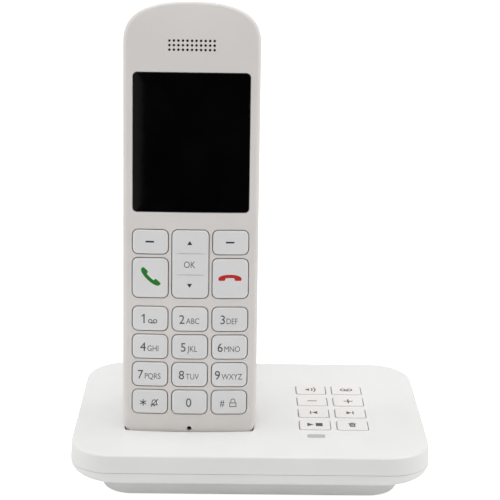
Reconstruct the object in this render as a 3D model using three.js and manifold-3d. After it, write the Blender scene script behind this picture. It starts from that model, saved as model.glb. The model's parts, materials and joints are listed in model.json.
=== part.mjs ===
// A cordless telephone: a handset standing in its charging base, which has answering-machine keys.
// Millimetres. +X is to the right, +Y to the back and +Z up, and the origin is on the resting plane
// under the middle of the base.
//
// Handset pieces are drawn in the handset's own frame: X across it, Y into it from the middle of its
// face, Z along it from the cradle's front lip. Deck pieces are drawn in the deck's frame, whose Z is 0
// on the sloping top of the base.

import * as THREE from "three";
import { LoftGeometry } from "three/addons/geometries/LoftGeometry.js";
import { mergeVertices } from "three/addons/utils/BufferGeometryUtils.js";
import Module from "manifold-3d";

const { degToRad } = THREE.MathUtils;

// Clearances and walls
const GAP = 0.3; // between neighbouring pieces
const SLOT_GAP = 0.35; // round the handset in its cradle
const HANDSET_WALL = 2.4;
const COVER_WALL = 1.5;
const BASE_WALL = 2.2;
const POCKET_WALL = 1.8; // of the cradle's pocket
const BEYOND = 5; // how far a cutting tool runs past what it cuts

// Handset casing
const SIDE_ROOM = 1.3; // from the keys and the window to the inside of the handset's walls
const HANDSET_LEAN = degToRad(7.9); // backwards from upright
const SUNK = 7; // length of handset below the cradle's lip
const BOTTOM_ROUND = 13.5; // length of the rounded bottom end
const TOP_ROUND = 15.5; // length of the rounded top end
const END_POWER = 2.6; // superellipse power of both ends
const FACE_CROWN = 1.2; // how far the middle of the face stands over its edges
const EDGE_ROUND = 1.5; // depth of the rounding along the face's edge
const EDGE_BAND = 0.07; // share of the half width that the rounding takes
const BACK_POWER = 3; // squareness of the back's cross-section
const BACK_FALL = 5; // how much thinner the bottom end is than the thickest place
const BROW_FALL = 3.5; // how much thinner the top end is
const BULGE = 3.6; // room behind the battery cover's inside at the thickest place
const THICKEST_RISE = 20; // of the thickest place above the middle of the straight sides

// Keys of the handset, as width, height and corner radius
const COLUMN_SPACE = 1.75; // between the columns of number keys
const ROW_SPACE = 1.6;
const SIDE_SPACE = 1.5; // from the navigation key to the keys beside it
const FIRST_ROW = 11.2; // middle of the lowest row above the lip
const NUMBER_KEY = { width: 13, height: 8.9, radius: 2 };
const CALL_KEY = { width: 13.1, height: 14.65, radius: 2 };
const SOFT_KEY = { width: 13, height: 8.85, radius: 2 };
const NAV_WIDTH = 13.4;
const NUMBER_ROWS = 4;
const ABOVE_NUMBERS = 3.5; // from the top number row to the call keys
const ABOVE_CALL = 1.65; // from the call keys to the soft keys
const KEY_PROUD = 0.3; // how far a key stands over the face
const KEY_TRAVEL = 0.5;
const NAV_ROCK = degToRad(1.5); // how far the navigation key tilts either way
const FLANGE_MARGIN = 0.6; // how far a key's flange reaches past its cap
const FLANGE_THICKNESS = 0.8;
const MEMBRANE_THICKNESS = 0.8;
const PLUNGER_RADIUS = 3;

// Display
const WINDOW = { width: 42.6, height: 50.6, radius: 1.5 };
const ABOVE_SOFT = 6.67; // from the soft keys to the window
const WINDOW_THICKNESS = 1.3; // at its middle
const WINDOW_LEDGE = 2.3; // width of the ledge that the window is glued to
const OPENING_RADIUS = 1; // at the corners of the opening behind the window
const MODULE_MARGIN = 0.4; // the display module is smaller than the window by this on each side

// Earpiece, microphone and loudspeaker
const ABOVE_WINDOW = 9.8; // from the window to the middle row of the earpiece's holes
const ABOVE_EARPIECE = 15.6; // from that row to the top of the handset
const GRILLE_COLUMNS = 11;
const GRILLE_ROWS = 3;
const GRILLE_PITCH = 1.63;
const GRILLE_HOLE = 0.4; // radius
const SPEAKER_STANDOFF = 1.5; // of the speaker and the microphone from the face's inside
const EARPIECE_RADIUS = 7;
const EARPIECE_THICKNESS = 3.2;
const MIC_HEIGHT = 1; // of the hole above the lip
const MIC_HOLE = 0.6; // radius
const MIC_RADIUS = 3;
const MIC_THICKNESS = 2.2;
const RINGER_RADIUS = 10;
const RINGER_THICKNESS = 4;
const RINGER_SLOTS = 4;
const RINGER_SLOT = { width: 12, height: 1.3, radius: 0.52, pitch: 3.2 };
const RINGER_RISE = 16; // of the ringer's lower edge above the battery cover

// Circuit board, cells and charging pads
const BOARD_THICKNESS = 1;
const BEHIND_BOARD = 1.2; // room for components
const CELL_RADIUS = 5.25;
const CELL_LENGTH = 44.5;
const CELL_SPACE = 0.4; // between the two cells
const NIPPLE = { radius: 1.8, length: 0.8 };
const BAY_LOW = 24; // lower end of the battery bay above the lip
const BAY_FLOOR = 1;
const BAY_WALL = 1.2;
const CONTACT = { length: 3, height: 8, thickness: 0.5, width: 7 };
const TONGUE = { root: 4, tip: 2.4, width: 0.8 }; // of each contact, from the strip's lower edge
const COVER_MARGIN = 4.4; // how far the cover reaches past the bay
const COVER_RADIUS = 5;
const NAIL_NOTCH = 3.5; // radius of the notch in the cover's lower edge
const PAD = { width: 4.2, depth: 4.6, thickness: 1 };
const PAD_OFFSET = 9; // of each pad from the handset's middle
const PAD_BEHIND_SEAM = 4.6; // of the pads' middle behind the casing's seam
const PAD_RECESS = 0.75; // of the pads' face above the casing's lowest point

// Base, from left to right and from bottom to top
const DECK_LEFT = 18.6; // from the base's left side to the handset
const DECK_MIDDLE = 16.75; // from the handset to the message keys
const DECK_RIGHT = 21.95; // from the message keys to the right side
const BASE_DEPTH = 87;
const BASE_CORNER = 15.5; // plan radius of the deck's corners
const BELLY_CORNER = 17.5; // plan radius of the corners under the seam
const BASE_DRAFT = 0.4; // how far the walls lean in between the seam and the deck
const DECK_FILLET = 0.8;
const DECK_SLOPE = degToRad(2.5); // down towards the front
const SEAM_DROP = 4.7; // from the seam to the tray's underside
const BELLY_INSET = 2.2; // how far the tray's underside is drawn in from the seam
const TRAY_HEIGHT = 7.7; // of the tray's underside above the ground
const PEDESTAL_INSET = { x: 11, y: 7.4 };
const PEDESTAL_CORNER = 12;
const PEDESTAL_ROUND = { inset: 0.8, height: 1 }; // of the pedestal's lower edge
const PEDESTAL_DRAFT = 0.4;
const FOOT_STAND = 0.6; // how far the feet stand out of the pedestal
const FOOT = { radius: 4.5, sunk: 0.9, inset: 10.5 };
const CRADLE_INSET = 21.2; // from the base's front to the handset's face at the lip
const FLOOR_GAP = 0.5; // under the handset in the cradle
const SECTION_HEIGHT = 5; // above the lip, of the handset's section that shapes the cradle's pocket
const REST = { width: 34, height: 17, radius: 10, thickness: 5 };

// Message keys and indicator
const MESSAGE_KEY = { width: 11.5, height: 8, radius: 1 };
const MESSAGE_SPACE = { x: 2.7, y: 2.65 }; // between the keys
const MESSAGE_PROUD = 0.2;
const MESSAGE_INSET = 27.6; // from the base's front to the middle of the nearest row
const LIGHT = { width: 6.1, height: 2.5, radius: 0.4, inset: 18.3 };
const KEY_BOARD_MARGIN = 4.5;
const KEY_BOARD_THICKNESS = 1.2;

// Sockets, loudspeaker, charging pins and screws of the base
const SOCKET = { width: 9.7, depth: 10.7, height: 8.4 };
const SOCKET_MOUTH = { width: 7.7, depth: 8, height: 6.6 };
const LATCH_SLOT = { width: 3.2, height: 0.5 };
const SOCKET_OFFSET = 8; // of each socket from the middle of the handset
const DECK_ROOM = 2; // over the sockets
const SPEAKER = { radius: 14, rim: 1.5, thickness: 5 };
const SPEAKER_SLOTS = 5;
const SPEAKER_SLOT = { width: 16, height: 2, radius: 0.8, pitch: 4 };
const PIN = { radius: 1.1, flange: 1.9, shank: 3.2 };
const SCREW = { head: 2.8, shank: 1.3, headHeight: 1.5, length: 9 };
const SCREW_SINK = 2; // how deep the head lies in the pedestal
const FRONT_SCREW = { beside: 6.4, inset: 14.5 }; // right of the handset, and from the base's front
const REAR_SCREW = { beside: 15.9, inset: 19.5 }; // right of the handset's left side, and from the rear
const BOSS_WALL = 1.6;

// Widths of the handset
const columnPitch = NUMBER_KEY.width + COLUMN_SPACE;
const sidePitch = (NAV_WIDTH + CALL_KEY.width) / 2 + SIDE_SPACE;
const keysHalfWidth = Math.max(columnPitch + NUMBER_KEY.width / 2, sidePitch + CALL_KEY.width / 2);
const halfWidth = Math.max(keysHalfWidth, WINDOW.width / 2) + SIDE_ROOM + HANDSET_WALL;
const keypadHalf = keysHalfWidth + FLANGE_MARGIN;
const bayHalf = 2 * CELL_RADIUS + CELL_SPACE / 2 + GAP;

// Heights along the handset, above the cradle's lip
const rowPitch = NUMBER_KEY.height + ROW_SPACE;
const numbersTop = FIRST_ROW + (NUMBER_ROWS - 1) * rowPitch + NUMBER_KEY.height / 2;
const callZ = numbersTop + ABOVE_NUMBERS + CALL_KEY.height / 2;
const softZ = callZ + CALL_KEY.height / 2 + ABOVE_CALL + SOFT_KEY.height / 2;
const softTop = softZ + SOFT_KEY.height / 2;
const NAV_KEY = { width: NAV_WIDTH, height: softTop - numbersTop - ABOVE_NUMBERS, radius: 2 };
const navZ = softTop - NAV_KEY.height / 2;
const windowZ = softTop + ABOVE_SOFT + WINDOW.height / 2;
const windowTop = windowZ + WINDOW.height / 2;
const earpieceZ = windowTop + ABOVE_WINDOW;
const handsetTop = earpieceZ + ABOVE_EARPIECE;
const spineLow = BOTTOM_ROUND - SUNK;
const spineHigh = handsetTop - TOP_ROUND;
const bayLength = CELL_LENGTH + 2 * (CONTACT.length + GAP);
const bayZ = BAY_LOW + bayLength / 2;
const thickestZ = (spineLow + spineHigh) / 2 + THICKEST_RISE;
const ringerZ = BAY_LOW + bayLength + COVER_MARGIN + RINGER_RISE + RINGER_RADIUS;

// Levels of the handset, in the order in which its pieces lie from face to back
const insideFace = (x) => HANDSET_WALL + faceDepth(x / (halfWidth - HANDSET_WALL));
const flangeFront = insideFace(keypadHalf) + GAP;
const flangeBack = flangeFront + FLANGE_THICKNESS;
const rockTravel = (NAV_KEY.height / 2 + FLANGE_MARGIN) * Math.sin(NAV_ROCK);
const membraneFront = flangeBack + KEY_TRAVEL + rockTravel + GAP;
const membraneBack = membraneFront + MEMBRANE_THICKNESS;
const boardFront = membraneBack + GAP;
const boardBack = boardFront + BOARD_THICKNESS;
const seam = boardBack + BEHIND_BOARD;
const bayFloor = seam + GAP + BAY_FLOOR;
const cellDepth = bayFloor + GAP + CELL_RADIUS;
const thickest = cellDepth + CELL_RADIUS + GAP + COVER_WALL + BULGE;

// Places on the base
const messagePitch = {
  x: MESSAGE_KEY.width + MESSAGE_SPACE.x,
  y: MESSAGE_KEY.height + MESSAGE_SPACE.y,
};
const messageWidth = messagePitch.x + MESSAGE_KEY.width;
const baseWidth = DECK_LEFT + 2 * halfWidth + DECK_MIDDLE + messageWidth + DECK_RIGHT;
const baseFront = -BASE_DEPTH / 2;
const baseRear = BASE_DEPTH / 2;
const handsetX = -baseWidth / 2 + DECK_LEFT + halfWidth;
const cradleY = baseFront + CRADLE_INSET;
const keysX = baseWidth / 2 - DECK_RIGHT - messageWidth / 2;
const pedestalHalf = { x: baseWidth / 2 - PEDESTAL_INSET.x, y: BASE_DEPTH / 2 - PEDESTAL_INSET.y };
const baseSeam = TRAY_HEIGHT + SEAM_DROP;
const trayFloor = TRAY_HEIGHT + BASE_WALL;
const pedestalFloor = FOOT_STAND + BASE_WALL;
const socketLow = trayFloor + GAP;
const rearHeight = socketLow + SOCKET.height + DECK_ROOM + BASE_WALL;
const deckZ = rearHeight - baseRear * Math.tan(DECK_SLOPE);
const deckHeight = (y) => deckZ + y * Math.tan(DECK_SLOPE);
const pocketFloor = -SUNK - FLOOR_GAP;
const pinDepth = seam + PAD_BEHIND_SEAM;
const padFace = -SUNK + PAD_RECESS;
const screwPlaces = [
  { x: handsetX + halfWidth + FRONT_SCREW.beside, y: baseFront + FRONT_SCREW.inset },
  { x: handsetX - halfWidth + REAR_SCREW.beside, y: baseRear - REAR_SCREW.inset },
];

// Finishes
const WHITE_PLASTIC = { color: 0xececec, roughness: 0.45, metalness: 0 };
const WARM_PLASTIC = { color: 0xd0cbc7, roughness: 0.4, metalness: 0 };
const KEY_PLASTIC = { color: 0xd4d4d4, roughness: 0.45, metalness: 0 };
const MESSAGE_PLASTIC = { color: 0xeeebe8, roughness: 0.5, metalness: 0 };
const DARK_GLASS = { color: 0x101418, roughness: 0.08, metalness: 0 };
const BLACK_PLASTIC = { color: 0x202224, roughness: 0.5, metalness: 0 };
const BOARD_GREEN = { color: 0x1d5a36, roughness: 0.6, metalness: 0 };
const SILICONE = { color: 0x8f9296, roughness: 0.8, metalness: 0 };
const RUBBER = { color: 0x3a3a3a, roughness: 0.9, metalness: 0 };
const PLATED_STEEL = { color: 0xc8c8c8, roughness: 0.25, metalness: 1 };
const CELL_SLEEVE = { color: 0x3f7d4a, roughness: 0.4, metalness: 0 };
const LIGHT_PIPE = { color: 0xb9b9b9, roughness: 0.3, metalness: 0 };

const CORNER_DETAIL = 1;
const ROUND_DETAIL = 16;
const HOLE_DETAIL = 5;

const wasm = await Module();
wasm.setup();

// A closed geometry, placed by a matrix, as a solid. Triangles that shrank to a line are left out.
function solid(geometry, place = new THREE.Matrix4()) {
  const bare = new THREE.BufferGeometry();
  bare.setAttribute("position", geometry.getAttribute("position").clone());
  bare.setIndex(geometry.index);
  const merged = mergeVertices(bare.applyMatrix4(place));
  const corners = Array.from(merged.index.array);
  const kept = [];
  for (let i = 0; i < corners.length; i += 3) {
    const triangle = corners.slice(i, i + 3);
    if (new Set(triangle).size === 3) kept.push(...triangle);
  }
  return new wasm.Manifold(
    new wasm.Mesh({
      numProp: 3,
      vertProperties: merged.getAttribute("position").array,
      triVerts: new Uint32Array(kept),
    }),
  );
}

// The solid's surface as a mesh with its own material, added to a group.
function addPiece(group, name, shape, finish) {
  const { vertProperties, triVerts } = shape.getMesh();
  const geometry = new THREE.BufferGeometry();
  geometry.setAttribute("position", new THREE.BufferAttribute(vertProperties, 3));
  geometry.setIndex(new THREE.BufferAttribute(triVerts, 1));
  geometry.computeVertexNormals();
  const material = new THREE.MeshStandardMaterial({ ...finish, flatShading: true });
  const mesh = new THREE.Mesh(geometry, material);
  mesh.name = name;
  group.add(mesh);
}

function cutAll(shape, tools) {
  return tools.reduce((left, tool) => left.subtract(tool), shape);
}

function joinAll(shape, additions) {
  return additions.reduce((whole, addition) => whole.add(addition), shape);
}

function roundedRectangle({ width, height, radius }, x = 0, y = 0) {
  const right = width / 2 - radius;
  const top = height / 2 - radius;
  const shape = new THREE.Shape();
  shape.absarc(x + right, y + top, radius, 0, Math.PI / 2);
  shape.absarc(x - right, y + top, radius, Math.PI / 2, Math.PI);
  shape.absarc(x - right, y - top, radius, Math.PI, 1.5 * Math.PI);
  shape.absarc(x + right, y - top, radius, 1.5 * Math.PI, 2 * Math.PI);
  return shape;
}

// The same outline, larger by a margin on every side.
function grown({ width, height, radius }, margin) {
  return { width: width + 2 * margin, height: height + 2 * margin, radius: radius + margin };
}

// A shape drawn in X and Y, standing from low to high.
function slab(shape, low, high) {
  const options = { depth: high - low, bevelEnabled: false, curveSegments: CORNER_DETAIL };
  return new THREE.ExtrudeGeometry(shape, options).translate(0, 0, low);
}

// A shape drawn in X and Z, reaching from a front depth to a back depth.
function inlay(shape, front, back) {
  return slab(shape, -back, -front).rotateX(Math.PI / 2);
}

function box(low, high) {
  const size = high.map((value, i) => value - low[i]);
  const middle = high.map((value, i) => (value + low[i]) / 2);
  return new THREE.BoxGeometry(...size).translate(...middle);
}

function disc(radius, low, high, x, y) {
  const cylinder = new THREE.CylinderGeometry(radius, radius, high - low, ROUND_DETAIL);
  return cylinder.rotateX(Math.PI / 2).translate(x, y, (low + high) / 2);
}

function inlaidDisc(radius, front, back, x, z, detail = ROUND_DETAIL) {
  return new THREE.CylinderGeometry(radius, radius, back - front, detail).translate(x, (front + back) / 2, z);
}

// A piece turned about Z, from pairs of radius and height that start and end on the axis.
function turned(profile, x, y) {
  const points = profile.map(([radius, height]) => new THREE.Vector2(radius, height));
  return new THREE.LatheGeometry(points, ROUND_DETAIL).rotateX(Math.PI / 2).translate(x, y, 0);
}

// Handset casing. A ring runs round the handset at a reach between its spine (0) and its outline (1).
const FACE_REACHES = [0, 0.35, 0.65, 1 - EDGE_BAND, 1 - EDGE_BAND / 3, 1];
const BACK_REACHES = [1, 0.96, 0.85, 0.65, 0.35, 0];
const END_STEPS = 12;
const SIDE_STEPS = 6;

function faceDepth(reach) {
  const edge = Math.max(0, (reach - 1) / EDGE_BAND + 1);
  return FACE_CROWN * reach ** 2 + EDGE_ROUND * (1 - Math.sqrt(1 - edge ** 2));
}

function thicknessAt(z) {
  const up = z > thickestZ;
  const share = (z - thickestZ) / (up ? handsetTop - thickestZ : thickestZ + SUNK);
  return thickest - (up ? BROW_FALL : BACK_FALL) * share ** 2;
}

function backDepth(reach, z, inset) {
  return seam + (thicknessAt(z) - inset - seam) * (1 - reach ** BACK_POWER) ** (1 / BACK_POWER);
}

function handsetRing(reach, inset, depthAt) {
  const points = [];
  const add = (x, z) => points.push(new THREE.Vector3(reach * x, depthAt(z), z));
  const power = (value) => Math.sign(value) * Math.abs(value) ** (2 / END_POWER);
  const half = halfWidth - inset;
  for (let i = 0; i <= END_STEPS; i++) {
    const angle = (Math.PI * i) / END_STEPS;
    add(-half * power(Math.cos(angle)), spineHigh + reach * (TOP_ROUND - inset) * power(Math.sin(angle)));
  }
  for (let i = 1; i < SIDE_STEPS; i++) add(half, spineHigh + ((spineLow - spineHigh) * i) / SIDE_STEPS);
  for (let i = 0; i <= END_STEPS; i++) {
    const angle = (Math.PI * i) / END_STEPS;
    add(half * power(Math.cos(angle)), spineLow - reach * (BOTTOM_ROUND - inset) * power(Math.sin(angle)));
  }
  for (let i = 1; i < SIDE_STEPS; i++) add(-half, spineLow + ((spineHigh - spineLow) * i) / SIDE_STEPS);
  return points;
}

// The whole casing as one closed form, smaller than its outside by an inset.
function handsetForm(inset) {
  const face = FACE_REACHES.map((reach) => handsetRing(reach, inset, () => faceDepth(reach) + inset));
  const back = BACK_REACHES.map((reach) => handsetRing(reach, inset, (z) => backDepth(reach, z, inset)));
  return new LoftGeometry([...face, ...back]);
}

// Half the handset's width where its rounded lower end passes the deck, at a depth behind its face.
function throat(depth) {
  const passing = Math.max(0, depth) * Math.tan(HANDSET_LEAN + DECK_SLOPE);
  const over = Math.min(1, Math.max(0, spineLow - passing) / BOTTOM_ROUND);
  return halfWidth * (1 - over ** END_POWER) ** (1 / END_POWER);
}

// Section across the handset where it passes the deck, grown by a gap: what the cradle's pocket is shaped to.
function handsetSection(gap) {
  const grown = ([reach, depth]) => [reach * (throat(depth) + gap), depth];
  const face = FACE_REACHES.map((reach) => grown([reach, faceDepth(reach) - gap]));
  const back = BACK_REACHES.map((reach) => grown([reach, backDepth(reach, SECTION_HEIGHT, -gap)]));
  const rightSide = [...face, ...back];
  const leftSide = rightSide.slice(1, -1).reverse().map(([x, depth]) => [-x, depth]);
  return new THREE.Shape([...rightSide, ...leftSide].map(([x, depth]) => new THREE.Vector2(x, depth)));
}

const phone = new THREE.Group();
const handset = new THREE.Group();
handset.position.set(handsetX, cradleY, deckHeight(cradleY));
handset.rotation.x = -HANDSET_LEAN;
handset.updateMatrix();
const deck = new THREE.Group();
deck.position.set(0, 0, deckZ);
deck.rotation.x = DECK_SLOPE;
deck.updateMatrix();
phone.add(handset, deck);

const casing = solid(handsetForm(0));
const casingInside = solid(handsetForm(HANDSET_WALL));
const casingProud = solid(handsetForm(-KEY_PROUD));

// Keys of the handset: name, size, place, and how far back the cap reaches
const handsetKeys = [];
const NUMBER_NAMES = [
  ["key_star", "key_0", "key_hash"],
  ["key_7", "key_8", "key_9"],
  ["key_4", "key_5", "key_6"],
  ["key_1", "key_2", "key_3"],
];
NUMBER_NAMES.forEach((row, i) => {
  row.forEach((name, j) => {
    handsetKeys.push({ name, size: NUMBER_KEY, x: (j - 1) * columnPitch, z: FIRST_ROW + i * rowPitch });
  });
});
handsetKeys.push({ name: "call_key", size: CALL_KEY, x: -sidePitch, z: callZ });
handsetKeys.push({ name: "end_key", size: CALL_KEY, x: sidePitch, z: callZ });
handsetKeys.push({ name: "soft_key_left", size: SOFT_KEY, x: -sidePitch, z: softZ });
handsetKeys.push({ name: "soft_key_right", size: SOFT_KEY, x: sidePitch, z: softZ });
handsetKeys.push({ name: "nav_key", size: NAV_KEY, x: 0, z: navZ });

const windowOpening = {
  width: WINDOW.width - 2 * WINDOW_LEDGE,
  height: WINDOW.height - 2 * WINDOW_LEDGE,
  radius: OPENING_RADIUS,
};
const coverSize = {
  width: 2 * (bayHalf + COVER_MARGIN),
  height: bayLength + 2 * COVER_MARGIN,
  radius: COVER_RADIUS,
};

function frontShell() {
  const frontHalf = solid(
    box([-2 * halfWidth, -BEYOND, -2 * SUNK], [2 * halfWidth, seam - GAP / 2, 2 * handsetTop]),
  );
  const cuts = [casingInside];
  for (const { size, x, z } of handsetKeys) {
    cuts.push(solid(inlay(roundedRectangle(grown(size, GAP), x, z), -BEYOND, seam)));
  }
  cuts.push(solid(inlay(roundedRectangle(grown(WINDOW, GAP), 0, windowZ), -BEYOND, WINDOW_THICKNESS + GAP)));
  cuts.push(solid(inlay(roundedRectangle(windowOpening, 0, windowZ), -BEYOND, seam)));
  for (let i = 0; i < GRILLE_COLUMNS; i++) {
    for (let j = 0; j < GRILLE_ROWS; j++) {
      const x = (i - (GRILLE_COLUMNS - 1) / 2) * GRILLE_PITCH;
      const z = earpieceZ + (j - (GRILLE_ROWS - 1) / 2) * GRILLE_PITCH;
      cuts.push(solid(inlaidDisc(GRILLE_HOLE, -BEYOND, seam, x, z, HOLE_DETAIL)));
    }
  }
  cuts.push(solid(inlaidDisc(MIC_HOLE, -BEYOND, seam, 0, MIC_HEIGHT, HOLE_DETAIL)));
  return cutAll(casing.intersect(frontHalf), cuts);
}

function chargePad(side, margin, length) {
  const x = side * PAD_OFFSET;
  return box(
    [x - PAD.width / 2 - margin, pinDepth - PAD.depth / 2 - margin, padFace - margin],
    [x + PAD.width / 2 + margin, pinDepth + PAD.depth / 2 + margin, padFace + length + margin],
  );
}

function rearShell() {
  const rearHalf = solid(
    box([-2 * halfWidth, seam + GAP / 2, -2 * SUNK], [2 * halfWidth, 2 * thickest, 2 * handsetTop]),
  );
  const bayTop = BAY_LOW + bayLength;
  const bayBlock = solid(
    box(
      [-bayHalf - BAY_WALL, bayFloor - BAY_FLOOR, BAY_LOW - BAY_WALL],
      [bayHalf + BAY_WALL, 2 * thickest, bayTop + BAY_WALL],
    ),
  );
  const bay = solid(box([-bayHalf, bayFloor, BAY_LOW], [bayHalf, 2 * thickest, bayTop]));
  const coverOpening = solid(inlay(roundedRectangle(grown(coverSize, GAP), 0, bayZ), seam, 2 * thickest));
  const coverRecess = coverOpening.subtract(solid(handsetForm(COVER_WALL + GAP)));
  const cuts = [bay, coverRecess];
  for (let i = 0; i < RINGER_SLOTS; i++) {
    const z = ringerZ + (i - (RINGER_SLOTS - 1) / 2) * RINGER_SLOT.pitch;
    cuts.push(solid(inlay(roundedRectangle(RINGER_SLOT, 0, z), seam + BEYOND, 2 * thickest)));
  }
  for (const side of [-1, 1]) {
    const way = chargePad(side, GAP, PAD.thickness).translate(0, 0, -GAP);
    cuts.push(solid(way), solid(way.clone().translate(0, 0, -PAD.thickness)));
  }
  const hollow = casing.intersect(rearHalf).subtract(casingInside);
  return cutAll(hollow.add(bayBlock.intersect(casing).intersect(rearHalf)), cuts);
}

function handsetKey({ size, x, z }) {
  const cap = solid(inlay(roundedRectangle(size, x, z), -BEYOND, flangeFront + FLANGE_THICKNESS / 2));
  const flange = solid(inlay(roundedRectangle(grown(size, FLANGE_MARGIN), x, z), flangeFront, flangeBack));
  return cap.intersect(casingProud).add(flange);
}

// A leaf contact: a flat strip with a tongue that leans out to the cell's end
function leafContact(width, x, z, direction) {
  const { length, height, thickness } = CONTACT;
  const profile = new THREE.Shape();
  profile.moveTo(0, 0);
  profile.lineTo(height, 0);
  profile.lineTo(height, thickness);
  profile.lineTo(TONGUE.root + TONGUE.width, thickness);
  profile.lineTo(TONGUE.tip + TONGUE.width, length);
  profile.lineTo(TONGUE.tip, length - thickness);
  profile.lineTo(TONGUE.root, thickness);
  profile.lineTo(0, thickness);
  const strip = new THREE.ExtrudeGeometry(profile, { depth: width, bevelEnabled: false });
  const turn = new THREE.Matrix4().makeBasis(
    new THREE.Vector3(0, 1, 0),
    new THREE.Vector3(0, 0, direction),
    new THREE.Vector3(direction, 0, 0),
  );
  strip.applyMatrix4(turn);
  return solid(strip.translate(x - (direction * width) / 2, cellDepth - height / 2, z));
}

function cell(x, up) {
  const end = CELL_LENGTH / 2;
  const geometry = turned(
    [
      [0, -end],
      [CELL_RADIUS, -end],
      [CELL_RADIUS, end - NIPPLE.length],
      [NIPPLE.radius, end - NIPPLE.length],
      [NIPPLE.radius, end],
      [0, end],
    ],
    0,
    0,
  );
  if (!up) geometry.rotateX(Math.PI);
  return solid(geometry.translate(x, cellDepth, bayZ));
}

addPiece(handset, "handset_front_shell", frontShell(), WARM_PLASTIC);
addPiece(handset, "handset_rear_shell", rearShell(), WARM_PLASTIC);
for (const key of handsetKeys) addPiece(handset, key.name, handsetKey(key), KEY_PLASTIC);

const windowBlank = solid(inlay(roundedRectangle(WINDOW, 0, windowZ), -BEYOND, WINDOW_THICKNESS));
addPiece(handset, "display_window", windowBlank.intersect(casing), DARK_GLASS);

const moduleSize = grown(WINDOW, -MODULE_MARGIN);
const moduleFront = insideFace(moduleSize.width / 2) + GAP;
addPiece(
  handset,
  "display_module",
  solid(inlay(roundedRectangle(moduleSize, 0, windowZ), moduleFront, membraneBack)),
  BLACK_PLASTIC,
);

const padLow = FIRST_ROW - NUMBER_KEY.height / 2 - 2 * FLANGE_MARGIN;
const padHigh = softTop + FLANGE_MARGIN;
const membrane = solid(box([-keypadHalf, membraneFront, padLow], [keypadHalf, membraneBack, padHigh]));
const plungerHole = solid(inlaidDisc(PLUNGER_RADIUS + GAP, 0, seam, 0, navZ));
addPiece(handset, "keypad_membrane", membrane.subtract(plungerHole), SILICONE);

const plungerBack = boardFront - KEY_TRAVEL - GAP;
const plunger = inlaidDisc(PLUNGER_RADIUS, flangeBack + GAP, plungerBack, 0, navZ);
addPiece(handset, "nav_plunger", solid(plunger), BLACK_PLASTIC);

const board = solid(box([-keypadHalf, boardFront, padLow], [keypadHalf, boardBack, windowTop + GAP]));
addPiece(handset, "handset_circuit_board", board, BOARD_GREEN);

const speakerFront = insideFace(EARPIECE_RADIUS) + SPEAKER_STANDOFF;
addPiece(
  handset,
  "earpiece_speaker",
  solid(inlaidDisc(EARPIECE_RADIUS, speakerFront, speakerFront + EARPIECE_THICKNESS, 0, earpieceZ)),
  BLACK_PLASTIC,
);
addPiece(
  handset,
  "microphone",
  solid(inlaidDisc(MIC_RADIUS, speakerFront, speakerFront + MIC_THICKNESS, 0, padLow - GAP - MIC_RADIUS)),
  BLACK_PLASTIC,
);

const ringerBack = backDepth(RINGER_RADIUS / (halfWidth - HANDSET_WALL), ringerZ, HANDSET_WALL) - 2 * GAP;
addPiece(
  handset,
  "ringer_speaker",
  solid(inlaidDisc(RINGER_RADIUS, ringerBack - RINGER_THICKNESS, ringerBack, 0, ringerZ)),
  BLACK_PLASTIC,
);

const cellX = CELL_RADIUS + CELL_SPACE / 2;
addPiece(handset, "battery_left", cell(-cellX, true), CELL_SLEEVE);
addPiece(handset, "battery_right", cell(cellX, false), CELL_SLEEVE);
const contactTop = BAY_LOW + bayLength - GAP / 2;
const bridgeWidth = 2 * cellX + CONTACT.width;
addPiece(handset, "battery_contact_bridge", leafContact(bridgeWidth, 0, BAY_LOW + GAP / 2, 1), PLATED_STEEL);
addPiece(handset, "battery_contact_left", leafContact(CONTACT.width, -cellX, contactTop, -1), PLATED_STEEL);
addPiece(handset, "battery_contact_right", leafContact(CONTACT.width, cellX, contactTop, -1), PLATED_STEEL);

addPiece(handset, "charge_pad_left", solid(chargePad(-1, 0, PAD.thickness)), PLATED_STEEL);
addPiece(handset, "charge_pad_right", solid(chargePad(1, 0, PAD.thickness)), PLATED_STEEL);

const coverBlank = solid(inlay(roundedRectangle(coverSize, 0, bayZ), seam, 2 * thickest)).intersect(casing);
const notch = solid(inlaidDisc(NAIL_NOTCH, 0, 2 * thickest, 0, bayZ - coverSize.height / 2 - NAIL_NOTCH / 2));
const cover = cutAll(coverBlank, [solid(handsetForm(COVER_WALL)), notch]);
addPiece(handset, "battery_cover", cover, WARM_PLASTIC);

// Base. A ring runs round the base; its corners are arcs.
const CORNER_STEPS = 5;
const BELLY_SHARES = [0, 0.25, 0.5, 1];

function baseRing(halfX, halfY, radius, heightAt) {
  const points = [];
  for (let quarter = 0; quarter < 4; quarter++) {
    const signX = quarter === 0 || quarter === 3 ? 1 : -1;
    const signY = quarter < 2 ? 1 : -1;
    for (let i = 0; i <= CORNER_STEPS; i++) {
      const angle = (Math.PI / 2) * (quarter + i / CORNER_STEPS);
      const x = signX * (halfX - radius) + radius * Math.cos(angle);
      const y = signY * (halfY - radius) + radius * Math.sin(angle);
      points.push(new THREE.Vector3(x, y, heightAt(y)));
    }
  }
  return points;
}

// A ring of the tray, drawn in from the base's outline by an inset.
function trayRing(inset, radius, heightAt) {
  return baseRing(baseWidth / 2 - inset, BASE_DEPTH / 2 - inset, radius, heightAt);
}

function pedestalRing(inset, height) {
  return baseRing(pedestalHalf.x - inset, pedestalHalf.y - inset, PEDESTAL_CORNER - inset, () => height);
}

const capped = { capStart: true, capEnd: true };
const under = (drop) => (y) => deckHeight(y) - drop;
const level = (height) => () => height;

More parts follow.
